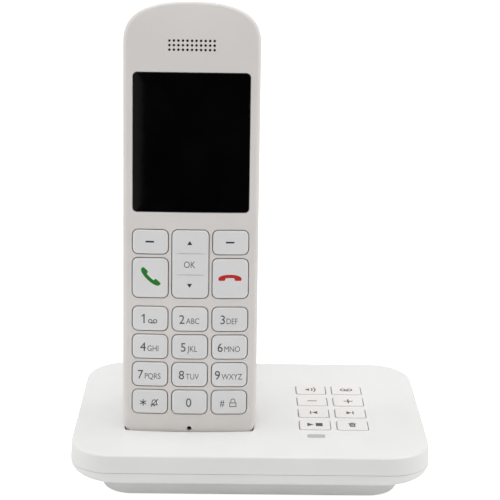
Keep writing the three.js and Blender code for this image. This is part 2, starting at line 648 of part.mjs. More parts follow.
function topForm() {
  const soft = DECK_FILLET * (1 - Math.SQRT1_2);
  return new LoftGeometry(
    [
      trayRing(0, BASE_CORNER, level(baseSeam + GAP / 2)),
      trayRing(BASE_DRAFT, BASE_CORNER, under(DECK_FILLET)),
      trayRing(BASE_DRAFT + soft, BASE_CORNER - soft, under(soft)),
      trayRing(BASE_DRAFT + DECK_FILLET, BASE_CORNER - DECK_FILLET, under(0)),
    ],
    capped,
  );
}

function topHollow() {
  const inset = BASE_WALL + BASE_DRAFT;
  return new LoftGeometry(
    [
      trayRing(BASE_WALL, BASE_CORNER - BASE_WALL, level(baseSeam - BEYOND)),
      trayRing(inset, BASE_CORNER - inset, under(BASE_WALL)),
    ],
    capped,
  );
}

// The tray's outside swells from its underside (share 0) to the seam (share 1) along a quarter ellipse.
function bellyRing(share) {
  const inset = BELLY_INSET * (1 - Math.sqrt(1 - (1 - share) ** 2));
  const radius = THREE.MathUtils.lerp(BELLY_CORNER, BASE_CORNER, share);
  return trayRing(inset, radius, level(TRAY_HEIGHT + share * (SEAM_DROP - GAP / 2)));
}

function bottomForm() {
  return new LoftGeometry(
    [
      pedestalRing(PEDESTAL_DRAFT + PEDESTAL_ROUND.inset, FOOT_STAND),
      pedestalRing(PEDESTAL_DRAFT, FOOT_STAND + PEDESTAL_ROUND.height),
      pedestalRing(0, TRAY_HEIGHT),
      ...BELLY_SHARES.map(bellyRing),
    ],
    capped,
  );
}

function bottomHollow() {
  return new LoftGeometry(
    [
      pedestalRing(BASE_WALL, pedestalFloor),
      pedestalRing(BASE_WALL, trayFloor),
      trayRing(BASE_WALL + BELLY_INSET, BELLY_CORNER - BASE_WALL, level(trayFloor)),
      trayRing(BASE_WALL, BASE_CORNER - BASE_WALL, level(baseSeam)),
      trayRing(BASE_WALL, BASE_CORNER - BASE_WALL, level(baseSeam + BEYOND)),
    ],
    capped,
  );
}

const sockets = [
  { name: "line_socket", x: handsetX - SOCKET_OFFSET },
  { name: "power_socket", x: handsetX + SOCKET_OFFSET },
];
const socketRear = baseRear - GAP;

function socketBox(x, margin, rear) {
  return box(
    [x - SOCKET.width / 2 - margin, socketRear - SOCKET.depth - margin, socketLow - margin],
    [x + SOCKET.width / 2 + margin, rear, socketLow + SOCKET.height + margin],
  );
}

function socket(x) {
  const middle = socketLow + SOCKET.height / 2;
  const low = middle - SOCKET_MOUTH.height / 2;
  const mouth = box(
    [x - SOCKET_MOUTH.width / 2, socketRear - SOCKET_MOUTH.depth, low],
    [x + SOCKET_MOUTH.width / 2, baseRear + BEYOND, low + SOCKET_MOUTH.height],
  );
  const latch = box(
    [x - LATCH_SLOT.width / 2, socketRear - SOCKET_MOUTH.depth / 2, low - LATCH_SLOT.height],
    [x + LATCH_SLOT.width / 2, baseRear + BEYOND, middle],
  );
  return cutAll(solid(socketBox(x, 0, socketRear)), [solid(mouth), solid(latch)]);
}

// Message keys, row by row from the front
const MESSAGE_NAMES = [
  ["message_key_play", "message_key_delete"],
  ["message_key_back", "message_key_forward"],
  ["message_key_quieter", "message_key_louder"],
  ["message_key_loudspeaker", "message_key_machine"],
];
const messageKeys = MESSAGE_NAMES.flatMap((row, i) =>
  row.map((name, j) => ({
    name,
    x: keysX + (j - 0.5) * messagePitch.x,
    y: baseFront + MESSAGE_INSET + i * messagePitch.y,
  })),
);
const messageFlange = -BASE_WALL - GAP;
const messageBottom = messageFlange - FLANGE_THICKNESS;
const matTop = messageBottom - KEY_TRAVEL - GAP;
const matBottom = matTop - MEMBRANE_THICKNESS;
const keyBoardTop = matBottom - GAP;
const keyBoardBottom = keyBoardTop - KEY_BOARD_THICKNESS;
const lastRow = messageKeys.at(-1).y;
const lightPlace = { x: keysX - messagePitch.x / 2, y: baseFront + LIGHT.inset };

function cradleCuts() {
  const frame = handset.matrix;
  const pocket = slab(handsetSection(SLOT_GAP), pocketFloor, 2 * BEYOND);
  const cuts = [solid(pocket, frame), solid(handsetForm(-SLOT_GAP), frame)];
  for (const side of [-1, 1]) {
    const low = pocketFloor - BEYOND;
    const high = pocketFloor + BEYOND;
    cuts.push(solid(disc(PIN.radius + GAP, low, high, side * PAD_OFFSET, pinDepth), frame));
  }
  return cuts;
}

// The rest that the handset leans on: a tongue with a rounded top, drawn in X and Z of the handset
function backRest() {
  const half = REST.width / 2;
  const shape = new THREE.Shape();
  shape.moveTo(-half, -BASE_WALL);
  shape.lineTo(half, -BASE_WALL);
  shape.absarc(half - REST.radius, REST.height - REST.radius, REST.radius, 0, Math.PI / 2);
  shape.absarc(REST.radius - half, REST.height - REST.radius, REST.radius, Math.PI / 2, Math.PI);
  const rear = thicknessAt(REST.height) + SLOT_GAP + REST.thickness;
  return solid(inlay(shape, seam, rear), handset.matrix);
}

function topShell() {
  const outside = solid(topForm());
  const wrap = slab(handsetSection(SLOT_GAP + POCKET_WALL), pocketFloor - POCKET_WALL, BEYOND);
  const boss = ({ x, y }) => {
    const low = pedestalFloor + SCREW_SINK + SCREW.headHeight + BASE_WALL + GAP;
    return solid(disc(SCREW.shank + GAP + BOSS_WALL, low, deckHeight(y) - BASE_WALL / 2, x, y));
  };
  const pocketWrap = solid(wrap, handset.matrix).intersect(solid(cutoffUnderDeck()));
  const pieces = [pocketWrap, ...screwPlaces.map(boss), backRest()];
  const cuts = cradleCuts();
  for (const { x, y } of messageKeys) {
    const hole = slab(roundedRectangle(grown(MESSAGE_KEY, GAP), x, y), -2 * BEYOND, BEYOND);
    cuts.push(solid(hole, deck.matrix));
  }
  const lightOutline = roundedRectangle(grown(LIGHT, GAP), lightPlace.x, lightPlace.y);
  cuts.push(solid(slab(lightOutline, -2 * BEYOND, BEYOND), deck.matrix));
  for (const { x } of sockets) cuts.push(solid(socketBox(x, GAP, baseRear + BEYOND)));
  for (const { x, y } of screwPlaces) {
    cuts.push(solid(disc(SCREW.shank + GAP, 0, deckHeight(y) - BASE_WALL - GAP, x, y)));
  }
  return cutAll(joinAll(outside.subtract(solid(topHollow())), pieces), cuts);
}

// Everything from the ground up to just under the deck's surface, to trim the pocket's wrap with.
function cutoffUnderDeck() {
  const half = baseWidth / 2;
  const ring = (heightAt) => baseRing(half, BASE_DEPTH / 2, BASE_CORNER, heightAt);
  return new LoftGeometry([ring(level(0)), ring(under(BASE_WALL / 2))], capped);
}

const speakerPlace = {
  x: keysX,
  y: baseFront + MESSAGE_INSET + ((MESSAGE_NAMES.length - 1) / 2) * messagePitch.y,
};
const footPlaces = [
  { name: "foot_front_left", x: -1, y: -1 },
  { name: "foot_front_right", x: 1, y: -1 },
  { name: "foot_rear_left", x: -1, y: 1 },
  { name: "foot_rear_right", x: 1, y: 1 },
].map(({ name, x, y }) => ({
  name,
  x: x * (pedestalHalf.x - FOOT.inset),
  y: y * (pedestalHalf.y - FOOT.inset),
}));
const headLow = FOOT_STAND + SCREW_SINK;

function bottomShell() {
  const bosses = screwPlaces.map(({ x, y }) => {
    const high = headLow + SCREW.headHeight + GAP + BASE_WALL;
    return solid(disc(SCREW.head + GAP + BOSS_WALL, FOOT_STAND, high, x, y));
  });
  const cuts = [];
  for (const { x, y } of screwPlaces) {
    cuts.push(solid(disc(SCREW.head + GAP, 0, headLow + SCREW.headHeight + GAP, x, y)));
    cuts.push(solid(disc(SCREW.shank + GAP, 0, 2 * TRAY_HEIGHT, x, y)));
  }
  for (const { x, y } of footPlaces) {
    cuts.push(solid(disc(FOOT.radius + GAP, 0, FOOT_STAND + FOOT.sunk + GAP, x, y)));
  }
  for (let i = 0; i < SPEAKER_SLOTS; i++) {
    const y = speakerPlace.y + (i - (SPEAKER_SLOTS - 1) / 2) * SPEAKER_SLOT.pitch;
    cuts.push(solid(slab(roundedRectangle(SPEAKER_SLOT, speakerPlace.x, y), 0, TRAY_HEIGHT)));
  }
  for (const { x } of sockets) cuts.push(solid(socketBox(x, GAP, baseRear + BEYOND)));
  const hollow = solid(bottomForm()).subtract(solid(bottomHollow()));
  return cutAll(joinAll(hollow, bosses), cuts);
}

function chargePin(side) {
  const tip = padFace - GAP;
  const flangeTop = pocketFloor - POCKET_WALL - GAP;
  const profile = [
    [0, flangeTop - PIN.shank],
    [PIN.radius, flangeTop - PIN.shank],
    [PIN.radius, flangeTop - FLANGE_THICKNESS],
    [PIN.flange, flangeTop - FLANGE_THICKNESS],
    [PIN.flange, flangeTop],
    [PIN.radius, flangeTop],
    [PIN.radius, tip - PIN.radius / 2],
    [PIN.radius / 2, tip],
    [0, tip],
  ];
  return solid(turned(profile, side * PAD_OFFSET, pinDepth));
}

function messageKey({ x, y }) {
  const cap = roundedRectangle(MESSAGE_KEY, x, y);
  const flange = roundedRectangle(grown(MESSAGE_KEY, FLANGE_MARGIN), x, y);
  const key = solid(slab(cap, messageFlange - FLANGE_THICKNESS / 2, MESSAGE_PROUD));
  return key.add(solid(slab(flange, messageBottom, messageFlange)));
}

function screw({ x, y }) {
  const neck = headLow + SCREW.headHeight;
  return solid(
    turned(
      [
        [0, headLow],
        [SCREW.head, headLow],
        [SCREW.head, neck],
        [SCREW.shank, neck],
        [SCREW.shank, neck + SCREW.length],
        [0, neck + SCREW.length],
      ],
      x,
      y,
    ),
  );
}

addPiece(phone, "base_top_shell", topShell(), WHITE_PLASTIC);
addPiece(phone, "base_bottom_shell", bottomShell(), WHITE_PLASTIC);
for (const key of messageKeys) addPiece(deck, key.name, messageKey(key), MESSAGE_PLASTIC);

const keysHalf = messageWidth / 2 + FLANGE_MARGIN;
const firstRowEdge = baseFront + MESSAGE_INSET - MESSAGE_KEY.height / 2 - FLANGE_MARGIN;
const lastRowEdge = lastRow + MESSAGE_KEY.height / 2 + FLANGE_MARGIN;
const mat = box([keysX - keysHalf, firstRowEdge, matBottom], [keysX + keysHalf, lastRowEdge, matTop]);
addPiece(deck, "message_key_mat", solid(mat), SILICONE);

const keyBoard = box(
  [keysX - messageWidth / 2 - KEY_BOARD_MARGIN, lightPlace.y - KEY_BOARD_MARGIN, keyBoardBottom],
  [keysX + messageWidth / 2 + KEY_BOARD_MARGIN, lastRowEdge, keyBoardTop],
);
addPiece(deck, "base_circuit_board", solid(keyBoard), BOARD_GREEN);
const light = slab(roundedRectangle(LIGHT, lightPlace.x, lightPlace.y), keyBoardTop + GAP, 0);
addPiece(deck, "indicator_light_pipe", solid(light), LIGHT_PIPE);

const speakerLow = pedestalFloor + GAP;
const speakerHigh = speakerLow + SPEAKER.thickness;
const speaker = disc(SPEAKER.radius, speakerLow, speakerHigh, speakerPlace.x, speakerPlace.y);
const cone = disc(SPEAKER.radius - SPEAKER.rim, 0, speakerLow + SPEAKER.rim, speakerPlace.x, speakerPlace.y);
addPiece(phone, "base_speaker", solid(speaker).subtract(solid(cone)), BLACK_PLASTIC);

for (const { name, x } of sockets) addPiece(phone, name, socket(x), BLACK_PLASTIC);
for (const { name, x, y } of footPlaces) {
  addPiece(phone, name, solid(disc(FOOT.radius, 0, FOOT_STAND + FOOT.sunk, x, y)), RUBBER);
}
addPiece(phone, "base_screw_front", screw(screwPlaces[0]), PLATED_STEEL);
addPiece(phone, "base_screw_rear", screw(screwPlaces[1]), PLATED_STEEL);
addPiece(handset, "charge_pin_left", chargePin(-1), PLATED_STEEL);
addPiece(handset, "charge_pin_right", chargePin(1), PLATED_STEEL);

export default phone;
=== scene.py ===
# A cordless telephone standing in its charging base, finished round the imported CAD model.
# Pieces are drawn in millimetres in the frame of the handset, of the deck or of the base, and are
# placed in metres in the row frame. On a surface, u runs across and v along, seen from outside.

import json
import math

import bmesh
import bpy
from mathutils import Matrix, Vector
from mathutils.geometry import tessellate_polygon


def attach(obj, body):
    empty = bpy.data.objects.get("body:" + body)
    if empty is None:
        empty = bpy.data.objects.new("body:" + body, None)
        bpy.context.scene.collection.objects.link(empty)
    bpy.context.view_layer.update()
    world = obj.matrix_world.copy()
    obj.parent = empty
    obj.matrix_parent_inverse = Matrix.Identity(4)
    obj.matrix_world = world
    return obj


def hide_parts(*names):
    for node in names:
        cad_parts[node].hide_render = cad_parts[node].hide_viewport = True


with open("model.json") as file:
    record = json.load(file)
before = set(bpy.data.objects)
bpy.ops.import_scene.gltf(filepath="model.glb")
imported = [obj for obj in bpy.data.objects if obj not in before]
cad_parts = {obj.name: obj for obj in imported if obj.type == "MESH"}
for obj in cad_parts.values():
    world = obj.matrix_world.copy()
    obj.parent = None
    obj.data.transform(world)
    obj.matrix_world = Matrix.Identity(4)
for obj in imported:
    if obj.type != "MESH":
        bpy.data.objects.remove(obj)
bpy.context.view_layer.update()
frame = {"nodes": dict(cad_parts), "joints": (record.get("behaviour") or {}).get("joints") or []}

MM = 0.001

# Camera, in front of the base and a little above it
CAMERA_PLACE = Vector((-7.186, -489.872, 224.194)) * MM
CAMERA_PITCH = math.radians(15.925)
CAMERA_YAW = math.radians(0.74)
CAMERA_ROLL = math.radians(0.886)
CAMERA_LENS = 97.2
SENSOR_WIDTH = 36

# Clearances and walls, as in the CAD model
GAP = 0.3
SLOT_GAP = 0.35
HANDSET_WALL = 2.4
COVER_WALL = 1.5
BASE_WALL = 2.2
POCKET_WALL = 1.8
FLANGE_MARGIN = 0.6
FLANGE_THICKNESS = 0.8
BEYOND = 5  # how far a tool reaches past what it cuts

# Handset casing
SUNK = 7
BOTTOM_ROUND = 13.5
TOP_ROUND = 15.5
END_POWER = 2.6
FACE_CROWN = 1.2
EDGE_ROUND = 1.5
EDGE_BAND = 0.07
BACK_POWER = 3
BACK_FALL = 5
BROW_FALL = 3.5
THICKEST_RISE = 20
SECTION_HEIGHT = 5
KEY_PROUD = 0.3
KEY_RADIUS = 2
WINDOW_RADIUS = 1.5
WINDOW_LEDGE = 2.3
WINDOW_THICKNESS = 1.3
WINDOW_EDGE = 0.12
LEDGE_RADIUS = 1
ABOVE_WINDOW = 9.8
GRILLE_COLUMNS = 11
GRILLE_ROWS = 3
GRILLE_PITCH = 1.63
GRILLE_HOLE = 0.47
GRILLE_EDGE = 0.05
GRILLE_STEPS = 20
GAUZE = {"behind": 0.05, "thickness": 0.3, "beyond": 1.2}  # of the dark gauze behind the holes
MIC_HEIGHT = 1
MIC_HOLE = 0.88
MIC_EDGE = 0.1
BAY_FLOOR = 1
BAY_WALL = 1.2
COVER_RADIUS = 5
COVER_EDGE = 0.3
COVER_MOUTH_EDGE = 0.2
COVER_RECESS = 2  # how far the tool that sinks the cover stands out of the back
NAIL_NOTCH = 3.5
GRIP = {"count": 5, "width": 13, "narrows": 1.3, "height": 0.7, "radius": 0.33, "low": 5.5, "pitch": 1.7}
GRIP_DEPTH = 0.4
GRIP_EDGE = 0.15
RINGER_SLOTS = 4
RINGER_SLOT = {"width": 12, "height": 1.3, "radius": 0.6}
RINGER_PITCH = 3.2

# Details of the handset's keys, and their legends' sizes and places
NIB = {"width": 7.5, "height": 0.5, "radius": 0.24}
NIB_BELOW = 2.9
NIB_PROUD = 0.14
NIB_EDGE = 0.12
NAV_LINE = {"width": 9.9, "height": 0.34, "radius": 0.16}
NAV_LINE_OFFSET = 3.95
NAV_LINE_EDGE = 0.08
CAP_HEIGHT = 0.729  # of the built-in font, at size 1
DIGIT_HEIGHT = 3.45
LETTER_HEIGHT = 2.25
HASH_HEIGHT = 2.7
HASH_RISE = 0.25
STAR_RISE = 1.4
BELL_RISE = -0.1
OK_HEIGHT = 2.5
OK_BASELINE = -1.3
BASELINE = -1.75
SQUEEZE = {"digit": 0.95, "letters": 0.83, "hash": 0.75, "ok": 0.85}  # widths, as shares of the font's
SPACE = {"star": 1.6, "hash": 1.9, "voicemail": 1.3, "letters": 0.6}
VOICEMAIL = {"width": 3.4, "line": 0.34}
DASH_PLACE = (-0.2, 0.05)
HANG_UP_PLACE = (-0.1, 0.0)
CALL_PLACE = (0.1, 0.45)
CALL_SCALE = 1.06
CALL_TURN = math.radians(137)
LEGEND_SHIFT = -0.25  # the legends stand a little to the left of the keys' middles
ARROW = {"width": 1.85, "height": 1.45, "up": 7.9, "down": -8.0}
DASH = {"width": 3.1, "height": 0.62}

# Cells: folds and ends, as how far inwards from the side and how far from the end each point lies
CELL_BAND = 11
CELL_SHOULDER = 1.4
SLEEVE_FOLD = ((0.6, 0.4), (0.12, 0.7), (0, 1.2))
BAND_FOLD = ((0, 0.5), (0.15, 0.1), (0.6, 0))
NEGATIVE_END = ((1.2, 0), (0.9, 0.39))
NUB_RIM = 1.1
NUB = ((1.8, 0.8), (1.75, 0.15), (1.6, 0))  # radius, and how far from the end
PARTED = 0.01  # between the solids of one cell

# Charging contacts
PAD_RADIUS = 0.5
PAD_EDGE = 0.25
PIN_RADIUS = 1.1
PIN_EDGE = 0.2
PIN_DOME = 0.75  # height of the tip, as a share of its radius

# Base
BASE_CORNER = 15.5
BELLY_CORNER = 17.5
BELLY_INSET = 2.2
BASE_DRAFT = 0.4
DECK_FILLET = 0.8
SEAM_HEIGHT = 12.4
BASE_SEAM_GAP = 0.16
TRAY_HEIGHT = 7.7
PEDESTAL_INSET = (11, 7.4)
PEDESTAL_CORNER = 12
PEDESTAL_ROUND = 0.8
PEDESTAL_DRAFT = 0.4
FOOT_STAND = 0.6
FLOOR_GAP = 0.5
REST_WIDTH = 34
REST_HEIGHT = 17
REST_RADIUS = 10
REST_THICKNESS = 5
REST_EDGE = 1.6
MESSAGE_RADIUS = 1
MESSAGE_PROUD = 0.2
MESSAGE_EDGE = 0.35
MESSAGE_HOLE_EDGE = 0.25
LIGHT_RADIUS = 0.4
LIGHT_EDGE = 0.15
LIGHT_HOLE_EDGE = 0.12
PEDESTAL_NECK = ((0.15, 1.2), (0, 0.5), (-0.5, 0))  # inset, and how far below the tray
BASE_TONGUE = {"thickness": 1, "rise": 0.6, "foot": 0.4}
TOP_BOSS = {"outer": 3.2, "inner": 1.6, "holds": 0.7, "into_deck": 1, "roof": 2.5}
BOSS_WALL = 1.6
BOSS_FOOT = 1.2
COUNTERSINK = ((0.3, 0), (0.3, 0.6), (0, 0.95))  # beyond the screw's hole, and height
FOOT_PROFILE = ((1.5, 0), (1.4, 0.12), (1.1, 0.12), (1, 0), (0.25, 0), (0.06, 0.1), (0, 0.3))

# Screws, and the sockets' contacts
SCREW_HEAD = 1.5
SCREW_HEAD_PROFILE = ((0.9, 0), (0.3, 0.25), (0, 0.8))
SHANK_HOLE = 1.6
THREAD = {"radius": 1.25, "depth": 0.3, "pitch": 0.7, "start": 0.6, "tip": 1, "point": 0.1}
CROSS = {"reach": 1.5, "half": 0.28, "depth": 0.9}
SOCKET_WIRES = {"line_socket": 4, "power_socket": 2}
WIRE_PITCH = 1.27
WIRE_HALF = 0.22
WIRE_START = (2.9, 1.1)  # from the socket's rear, and from its top
WIRE_SIDE = ((0, 0), (0, 0.3), (3.6, 2.2), (5.6, 0.4), (5.6, 0.1), (3.6, 1.9), (0.3, 0))
SPEAKER_SLOTS = 5
SPEAKER_SLOT = {"width": 16, "height": 2, "radius": 0.95}
SPEAKER_EDGE = 0.2
SPEAKER_PITCH = 4

# Fine detail
HOLE_EDGE = 0.22  # rounding of the edges of openings
KEY_EDGE = 0.5  # rounding of the keys' caps
LIP_EDGE = 0.45  # rounding of the cradle's lip
TONGUE = {"depth": 1.2, "outside": 1.25}  # of the tongue that closes the seams from inside
INK = 0.02  # how far a printed legend stands over its key
INK_SUNK = 0.05
STRIP = 0.8  # width of the strips that legends are cut into
FLAG = {"left": -0.4, "right": 0.8, "low": 0.001, "top": 0.5, "y": -1.7}  # dark card that the display mirrors
SKY_LIGHT = 0.235  # the surroundings, as they light the scene; the camera sees them white
FLOOR_GLOW = 0.8  # whitens the paper for the camera alone, as a lit table would
FLOOR_RADIUS = 8
AIM = (0, 0, 0.08)
SIDE_SIZE = (0.5, 0.9)
LIGHTS = {  # place, target, size and power
    "overhead": ((0, 0.1, 1.3), (0, 0, 0), (1.6, 1.6), 14),
    "front": ((-0.25, -1.5, 1.1), AIM, (1.4, 0.7), 3.9),
    "left": ((-1.1, 0.1, 0.5), AIM, SIDE_SIZE, 3.3),
    "right": ((1.1, 0.1, 0.5), AIM, SIDE_SIZE, 3.9),
}

# Scales of the materials' noises, in turns per metre
CLOUDS = 45
MARKS = 210
WAVINESS = 160
SMEARS = 90
DUST = 400
GLASS_WAVINESS = 60
DRAWN_LINES = 1800
INK_PATCHES = 900
RUBBER_GRAIN = 1500
TRACKS = 320
TRACK_EDGE = (0.05, 0.09)
BOARD_WEAVE = 2500
FIBRES = 700
NOISE_RANGE = (0.3, 0.7)  # the middle part of a noise, which is spread over a range of values

# Steps of the fine meshes
KEY_EDGE_STEPS = 5
WIDE_EDGE_STEPS = 6
CORNER_STEPS = 7
SIDE_STEPS = 8
END_STEPS = 44
SPINE_STEPS = 62
BASE_CORNER_STEPS = 20
ROUND_STEPS = 48
FLOOR_STEPS = 96
BELLY_STEPS = 12
REST_STEPS = 12
PIN_STEPS = 6
BLOCK_STEPS = 10
COVER_STEPS = 14
SHARP_ANGLE = math.radians(32)
FACE_REACHES = [i * 0.93 / 12 for i in range(13)] + [0.94, 0.955, 0.97, 0.98, 0.988, 0.994, 0.998, 1]
BACK_STEPS = 16
BACK_REACHES = [math.sin(math.pi / 2 * (1 - i / BACK_STEPS)) for i in range(BACK_STEPS + 1)]

joints = {joint["name"]: joint for joint in frame["joints"]}


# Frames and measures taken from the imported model

def axes_frame(across, inward, upward, origin):
    matrix = Matrix((across, inward, upward)).transposed().to_4x4()
    matrix.translation = origin
    return matrix


def local_box(node, matrix):
    """Lowest and highest corner of a CAD node in a frame, in millimetres."""
    back = matrix.inverted()
    points = [back @ vertex.co / MM for vertex in frame["nodes"][node].data.vertices]
    low = Vector([min(point[i] for point in points) for i in range(3)])
    high = Vector([max(point[i] for point in points) for i in range(3)])
    return low, high


def middle_of(low, high, upright=1):
    return (low.x + high.x) / 2, (low[upright] + high[upright]) / 2


def size_of(low, high, radius, upright=1, flange=0):
    width = high.x - low.x - 2 * flange
    return {"width": width, "height": high[upright] - low[upright] - 2 * flange, "radius": radius}


def row(count, pitch):
    """Places along a row that is centred on 0."""
    return [(i - (count - 1) / 2) * pitch for i in range(count)]


def find_handset_frame():
    across = Vector((1, 0, 0))
    along = Vector(joints["handset_lift"]["axis"]).normalized()
    inward = along.cross(across)
    loose = axes_frame(across, inward, along, Vector())
    low, high = local_box("handset_front_shell", loose)
    origin = loose @ (Vector(((low.x + high.x) / 2, low.y, low.z + SUNK)) * MM)
    return axes_frame(across, inward, along, origin)


def find_deck_frame():
    across = Vector((1, 0, 0))
    upward = -Vector(joints["message_key_play_press"]["axis"]).normalized()
    inward = upward.cross(across)
    loose = axes_frame(across, inward, upward, Vector())
    _, high = local_box("indicator_light_pipe", loose)
    return axes_frame(across, inward, upward, Vector((0, 0, high.z * MM / upward.z)))


HANDSET = find_handset_frame()
DECK = find_deck_frame()
BASE = Matrix.Identity(4)

front_low, front_high = local_box("handset_front_shell", HANDSET)
rear_low, rear_high = local_box("handset_rear_shell", HANDSET)
half_width = (front_high.x - front_low.x) / 2
handset_top = front_high.z
seam = (front_high.y + rear_low.y) / 2
thickest = rear_high.y
spine_low = BOTTOM_ROUND - SUNK
spine_high = handset_top - TOP_ROUND
thickest_z = (spine_low + spine_high) / 2 + THICKEST_RISE

tray_low, tray_high = local_box("base_bottom_shell", BASE)
base_half = ((tray_high.x - tray_low.x) / 2, (tray_high.y - tray_low.y) / 2)
pedestal_half = (base_half[0] - PEDESTAL_INSET[0], base_half[1] - PEDESTAL_INSET[1])
deck_level = DECK.translation.z / MM
deck_rise = DECK.col[1].z / DECK.col[1].y
pocket_floor = -SUNK - FLOOR_GAP


def deck_height(y):
    return deck_level + y * deck_rise


# Surfaces: each maps (u, v, depth) to a point; depth runs inwards from the surface, or from the
# surface's reference plane where follow is 0.

def face_depth(reach):
    edge = min(1, max(0, (reach - 1) / EDGE_BAND + 1))
    return FACE_CROWN * reach**2 + EDGE_ROUND * (1 - math.sqrt(1 - edge**2))


def thickness_at(z):
    up = z > thickest_z
    share = (z - thickest_z) / (handset_top - thickest_z if up else thickest_z + SUNK)
    return thickest - (BROW_FALL if up else BACK_FALL) * share**2


def back_depth(reach, z, inset=0):
    fall = max(0, 1 - min(1, reach) ** BACK_POWER) ** (1 / BACK_POWER)
    return seam + (thickness_at(z) - inset - seam) * fall


def reach_at(x, z, inset=0):
    """Where a point lies between the handset's spine (0) and its outline (1)."""
    over = max(z - spine_high, 0) / (TOP_ROUND - inset) + max(spine_low - z, 0) / (BOTTOM_ROUND - inset)
    return (abs(x / (half_width - inset)) ** END_POWER + over**END_POWER) ** (1 / END_POWER)


def on_face(u, v, depth, follow=1):
    return Vector((u, depth + follow * face_depth(reach_at(u, v)), v))


def on_back(u, v, depth, follow=1):
    if not follow:
        return Vector((-u, depth, v))
    inset = max(depth, 0)
    outward = min(depth, 0)
    return Vector((-u, back_depth(reach_at(u, v, inset), v, inset) - outward, v))


def on_deck(u, v, depth, follow=1):
    return Vector((u, v, -depth))


def under_base(u, v, depth, follow=1):
    return Vector((-u, v, depth))


# Meshes

def add_object(name, data):
    made = bpy.data.objects.new(name, data)
    bpy.context.scene.collection.objects.link(made)
    return made


def clean_mesh(name, points, faces):
    mesh = bpy.data.meshes.new(name)
    mesh.from_pydata([tuple(point) for point in points], [], faces)
    work = bmesh.new()
    work.from_mesh(mesh)
    bmesh.ops.remove_doubles(work, verts=work.verts, dist=1e-4)
    bmesh.ops.dissolve_degenerate(work, edges=work.edges, dist=1e-4)
    bmesh.ops.recalc_face_normals(work, faces=work.faces)
    work.to_mesh(mesh)
    work.free()
    return mesh


def loft(rings):
    """A closed mesh through rings of equally many points, capped at both ends."""
    count = len(rings[0])
    last = (len(rings) - 1) * count
    points = [point for points_round in rings for point in points_round]
    faces = []
    for here in range(0, last, count):
        for j in range(count):
            k = (j + 1) % count
            faces.append((here + j, here + k, here + count + k, here + count + j))
    faces.append(tuple(reversed(range(count))))
    faces.append(tuple(range(last, last + count)))
    return clean_mesh("loft", points, faces)


def join_meshes(meshes):
    work = bmesh.new()
    for mesh in meshes:
        work.from_mesh(mesh)
        bpy.data.meshes.remove(mesh)
    joined = bpy.data.meshes.new("joined")
    work.to_mesh(joined)
    work.free()
    return joined


def combine(mesh, steps):
    """The mesh after boolean steps, each an operation and the mesh that it uses."""
    target = add_object("target", mesh)
    used = [target]
    for operation, tool_mesh in steps:
        modifier = target.modifiers.new(operation, "BOOLEAN")
        modifier.operation = operation
        modifier.solver = "MANIFOLD"
        modifier.object = add_object("tool", tool_mesh)
        used.append(modifier.object)
    graph = bpy.context.evaluated_depsgraph_get()
    result = bpy.data.meshes.new_from_object(target.evaluated_get(graph))
    for thing in used:
        data = thing.data
        bpy.data.objects.remove(thing)
        bpy.data.meshes.remove(data)
    return result


def outline(size, x=0, y=0, margin=0):
    """A rounded rectangle, larger by a margin, counterclockwise from the middle of its right side."""
    half = (size["width"] / 2 + margin, size["height"] / 2 + margin)
    radius = max(size["radius"] + margin, 0.05)
    signs = [(1, 1), (-1, 1), (-1, -1), (1, -1)]
    corners = []
    for quarter, (sign_x, sign_y) in enumerate(signs):
        centre = (x + sign_x * (half[0] - radius), y + sign_y * (half[1] - radius))
        arc = []
        for i in range(CORNER_STEPS + 1):
            angle = math.pi / 2 * (quarter + i / CORNER_STEPS)
            arc.append((centre[0] + radius * math.cos(angle), centre[1] + radius * math.sin(angle)))
        corners.append(arc)
    points = []
    for arc, following in zip(corners, corners[1:] + corners[:1]):
        points += arc
        start, end = arc[-1], following[0]
        for i in range(1, SIDE_STEPS):
            share = i / SIDE_STEPS
            points.append((start[0] + (end[0] - start[0]) * share, start[1] + (end[1] - start[1]) * share))
    return points


def circle(radius, x=0, y=0, steps=ROUND_STEPS):
    turns = [2 * math.pi * i / steps for i in range(steps)]
    return [(x + radius * math.cos(turn), y + radius * math.sin(turn)) for turn in turns]


def rounded_edge(radius, steps=4):
    """Margin and depth of points round an edge, from the wall (0, radius) to the surface (radius, 0)."""
    turns = [math.pi / 2 * i / steps for i in range(steps + 1)]
    return [(radius * (1 - math.cos(turn)), radius * (1 - math.sin(turn))) for turn in turns]


def opening(surface, shape, deep, deep_follows=0, edge=HOLE_EDGE, surface_depth=0):
    """A tool that cuts a hole with a rounded edge. shape gives the outline for a margin."""
    rings = [[surface(u, v, deep, deep_follows) for u, v in shape(0)]]
    for margin, depth in rounded_edge(edge):
        rings.append([surface(u, v, surface_depth + depth) for u, v in shape(margin)])
    rings.append([surface(u, v, surface_depth - 1) for u, v in shape(edge)])
    return loft(rings)


def top_rings(surface, shape, depth, steps=6):
    """Rings that close a cap to its middle, following the surface."""
    edge = shape(0)
    middle = (sum(u for u, _ in edge) / len(edge), sum(v for _, v in edge) / len(edge))
    rings = []
    for i in range(1, steps + 1):
        share = i / steps
        inner = [(u + (middle[0] - u) * share, v + (middle[1] - v) * share) for u, v in edge]
        rings.append([surface(u, v, depth) for u, v in inner])
    return rings


def cap(surface, shape, proud, edge, bottom, flange=None):
    """A key: a cap with a rounded edge that stands proud of the surface, and a flange behind it."""
    rings = []
    if flange:
        front, back = flange
        rings.append([surface(u, v, back, 0) for u, v in shape(FLANGE_MARGIN)])
        rings.append([surface(u, v, front, 0) for u, v in shape(FLANGE_MARGIN)])
    rings.append([surface(u, v, bottom, 0) for u, v in shape(0)])
    for margin, depth in rounded_edge(edge, KEY_EDGE_STEPS):
        rings.append([surface(u, v, depth - proud) for u, v in shape(-margin)])
    rings += top_rings(surface, lambda margin: shape(margin - edge), -proud)
    return loft(rings)


